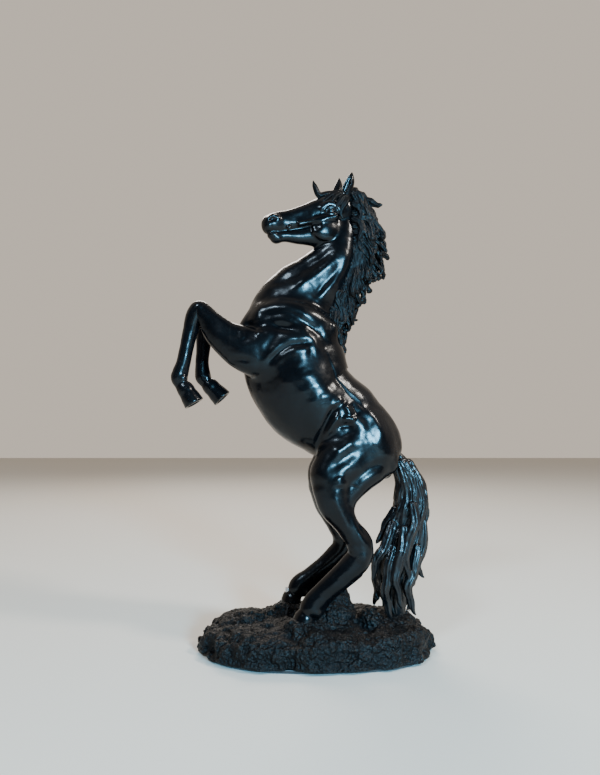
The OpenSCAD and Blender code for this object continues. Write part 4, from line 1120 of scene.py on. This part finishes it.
# ---------------------------------------------------------------- attach
USE = {
    "torso": ("torso_casting", "dark_bronze", BRONZE),
    "neck_and_head": ("neck_and_head_casting", "dark_bronze", BRONZE),
    "left_foreleg": ("left_foreleg_casting", "dark_bronze", BRONZE),
    "right_foreleg": ("right_foreleg_casting", "dark_bronze", BRONZE),
    "left_hind_leg": ("left_hind_leg_casting", "dark_bronze", BRONZE),
    "right_hind_leg": ("right_hind_leg_casting", "dark_bronze", BRONZE),
    "mane": ("mane_casting", "dark_bronze", HAIRM),
    "forelock": ("forelock_casting", "dark_bronze", HAIRM),
    "tail": ("tail_casting", "dark_bronze", TAILM),
    "rock": ("rock_base_casting", "rock_bronze", ROCKM),
    "felt": ("felt_base_pad", "felt", FELTM),
}
for key, (node, slot, mat) in USE.items():
    ob = PIECES[key]
    ob.data.materials.clear()
    ob.data.materials.append(mat)
    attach(ob, "root")
    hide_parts(node)

for ob in bpy.data.objects:
    if ob.type != "MESH" or ob in list(PIECES.values()):
        continue
    nm = ob.name
    mat = None
    if nm.startswith(("left_hoof_stud", "right_hoof_stud", "tail_stud", "stud_")):
        mat = STEELM
    elif "dowel" in nm or "_pin" in nm or "sleeve" in nm:
        mat = BAREM
    elif "felt" in nm:
        mat = FELTM
    elif "rock" in nm:
        mat = ROCKM
    elif "casting" in nm:
        mat = BRONZE
    if mat:
        ob.data.materials.clear()
        ob.data.materials.append(mat)

# ---------------------------------------------------------------- stage
floor_me = bpy.data.meshes.new("floor")
s = 3.0
floor_me.from_pydata([(-s, -s, 0), (s, -s, 0), (s, s, 0), (-s, s, 0)], [], [(0, 1, 2, 3)])
floor = bpy.data.objects.new("floor", floor_me)
bpy.context.scene.collection.objects.link(floor)
fm, nt, bs = node_mat("floor")
bs.inputs["Base Color"].default_value = (0.72, 0.66, 0.58, 1)
bs.inputs["Roughness"].default_value = 0.7
floor.data.materials.append(fm)

w = bpy.data.worlds.new("studio") if not bpy.context.scene.world else bpy.context.scene.world
bpy.context.scene.world = w
w.use_nodes = True
wt = w.node_tree
bg = wt.nodes["Background"]
tcw = wt.nodes.new("ShaderNodeTexCoord")
sep = wt.nodes.new("ShaderNodeSeparateXYZ")
wt.links.new(tcw.outputs["Generated"], sep.inputs[0])
# a pale wall behind the statue, a dim room in front of it
span = wt.nodes.new("ShaderNodeMapRange")
span.interpolation_type = "SMOOTHSTEP"
span.inputs["From Min"].default_value = -0.80
span.inputs["From Max"].default_value = 0.15
wt.links.new(sep.outputs["Y"], span.inputs["Value"])
rp = ramp(wt, span.outputs["Result"], [(0.0, (0.085, 0.088, 0.095)), (0.50, (0.13, 0.125, 0.12)), (1.0, (0.66, 0.58, 0.49))])
wt.links.new(rp.outputs["Color"], bg.inputs["Color"])
bg.inputs["Strength"].default_value = 1.0


def area(name, loc, aim, size, power, col, size_y=None):
    l = bpy.data.lights.new(name, "AREA")
    l.energy = power
    l.color = col
    l.size = size
    if size_y:
        l.shape = "RECTANGLE"
        l.size_y = size_y
    o = bpy.data.objects.new(name, l)
    bpy.context.scene.collection.objects.link(o)
    o.location = loc
    o.rotation_euler = (Vector(aim) - Vector(loc)).to_track_quat("-Z", "Y").to_euler()
    return o


area("window", (0.42, -1.00, 0.34), (0, 0, 0.16), 0.20, 29.0, (0.24, 0.66, 1.0), 0.13)
area("ceiling", (-0.45, -0.75, 0.95), (0, 0, 0.16), 0.22, 9.0, (0.62, 0.82, 1.0), 0.14)
area("lamp", (0.72, -0.36, 0.80), (0, 0, 0.12), 0.12, 8.0, (1.0, 0.94, 0.86), 0.10)
area("back", (-0.20, 0.90, 1.00), (0, 0, 0.12), 0.60, 9.0, (1.0, 0.93, 0.86), 0.40)

cam = bpy.data.cameras.new("view")
cam.sensor_width = 36.0
cam.lens = 568.0 / 775.0 * 36.0
cam.shift_x = 5.0 / 775.0
cam.shift_y = -5.5 / 775.0
co = bpy.data.objects.new("view", cam)
bpy.context.scene.collection.objects.link(co)
co.location = (-0.0127, -0.361, 0.130)
co.rotation_euler = (math.radians(95.4), 0, 0)
bpy.context.scene.camera = co
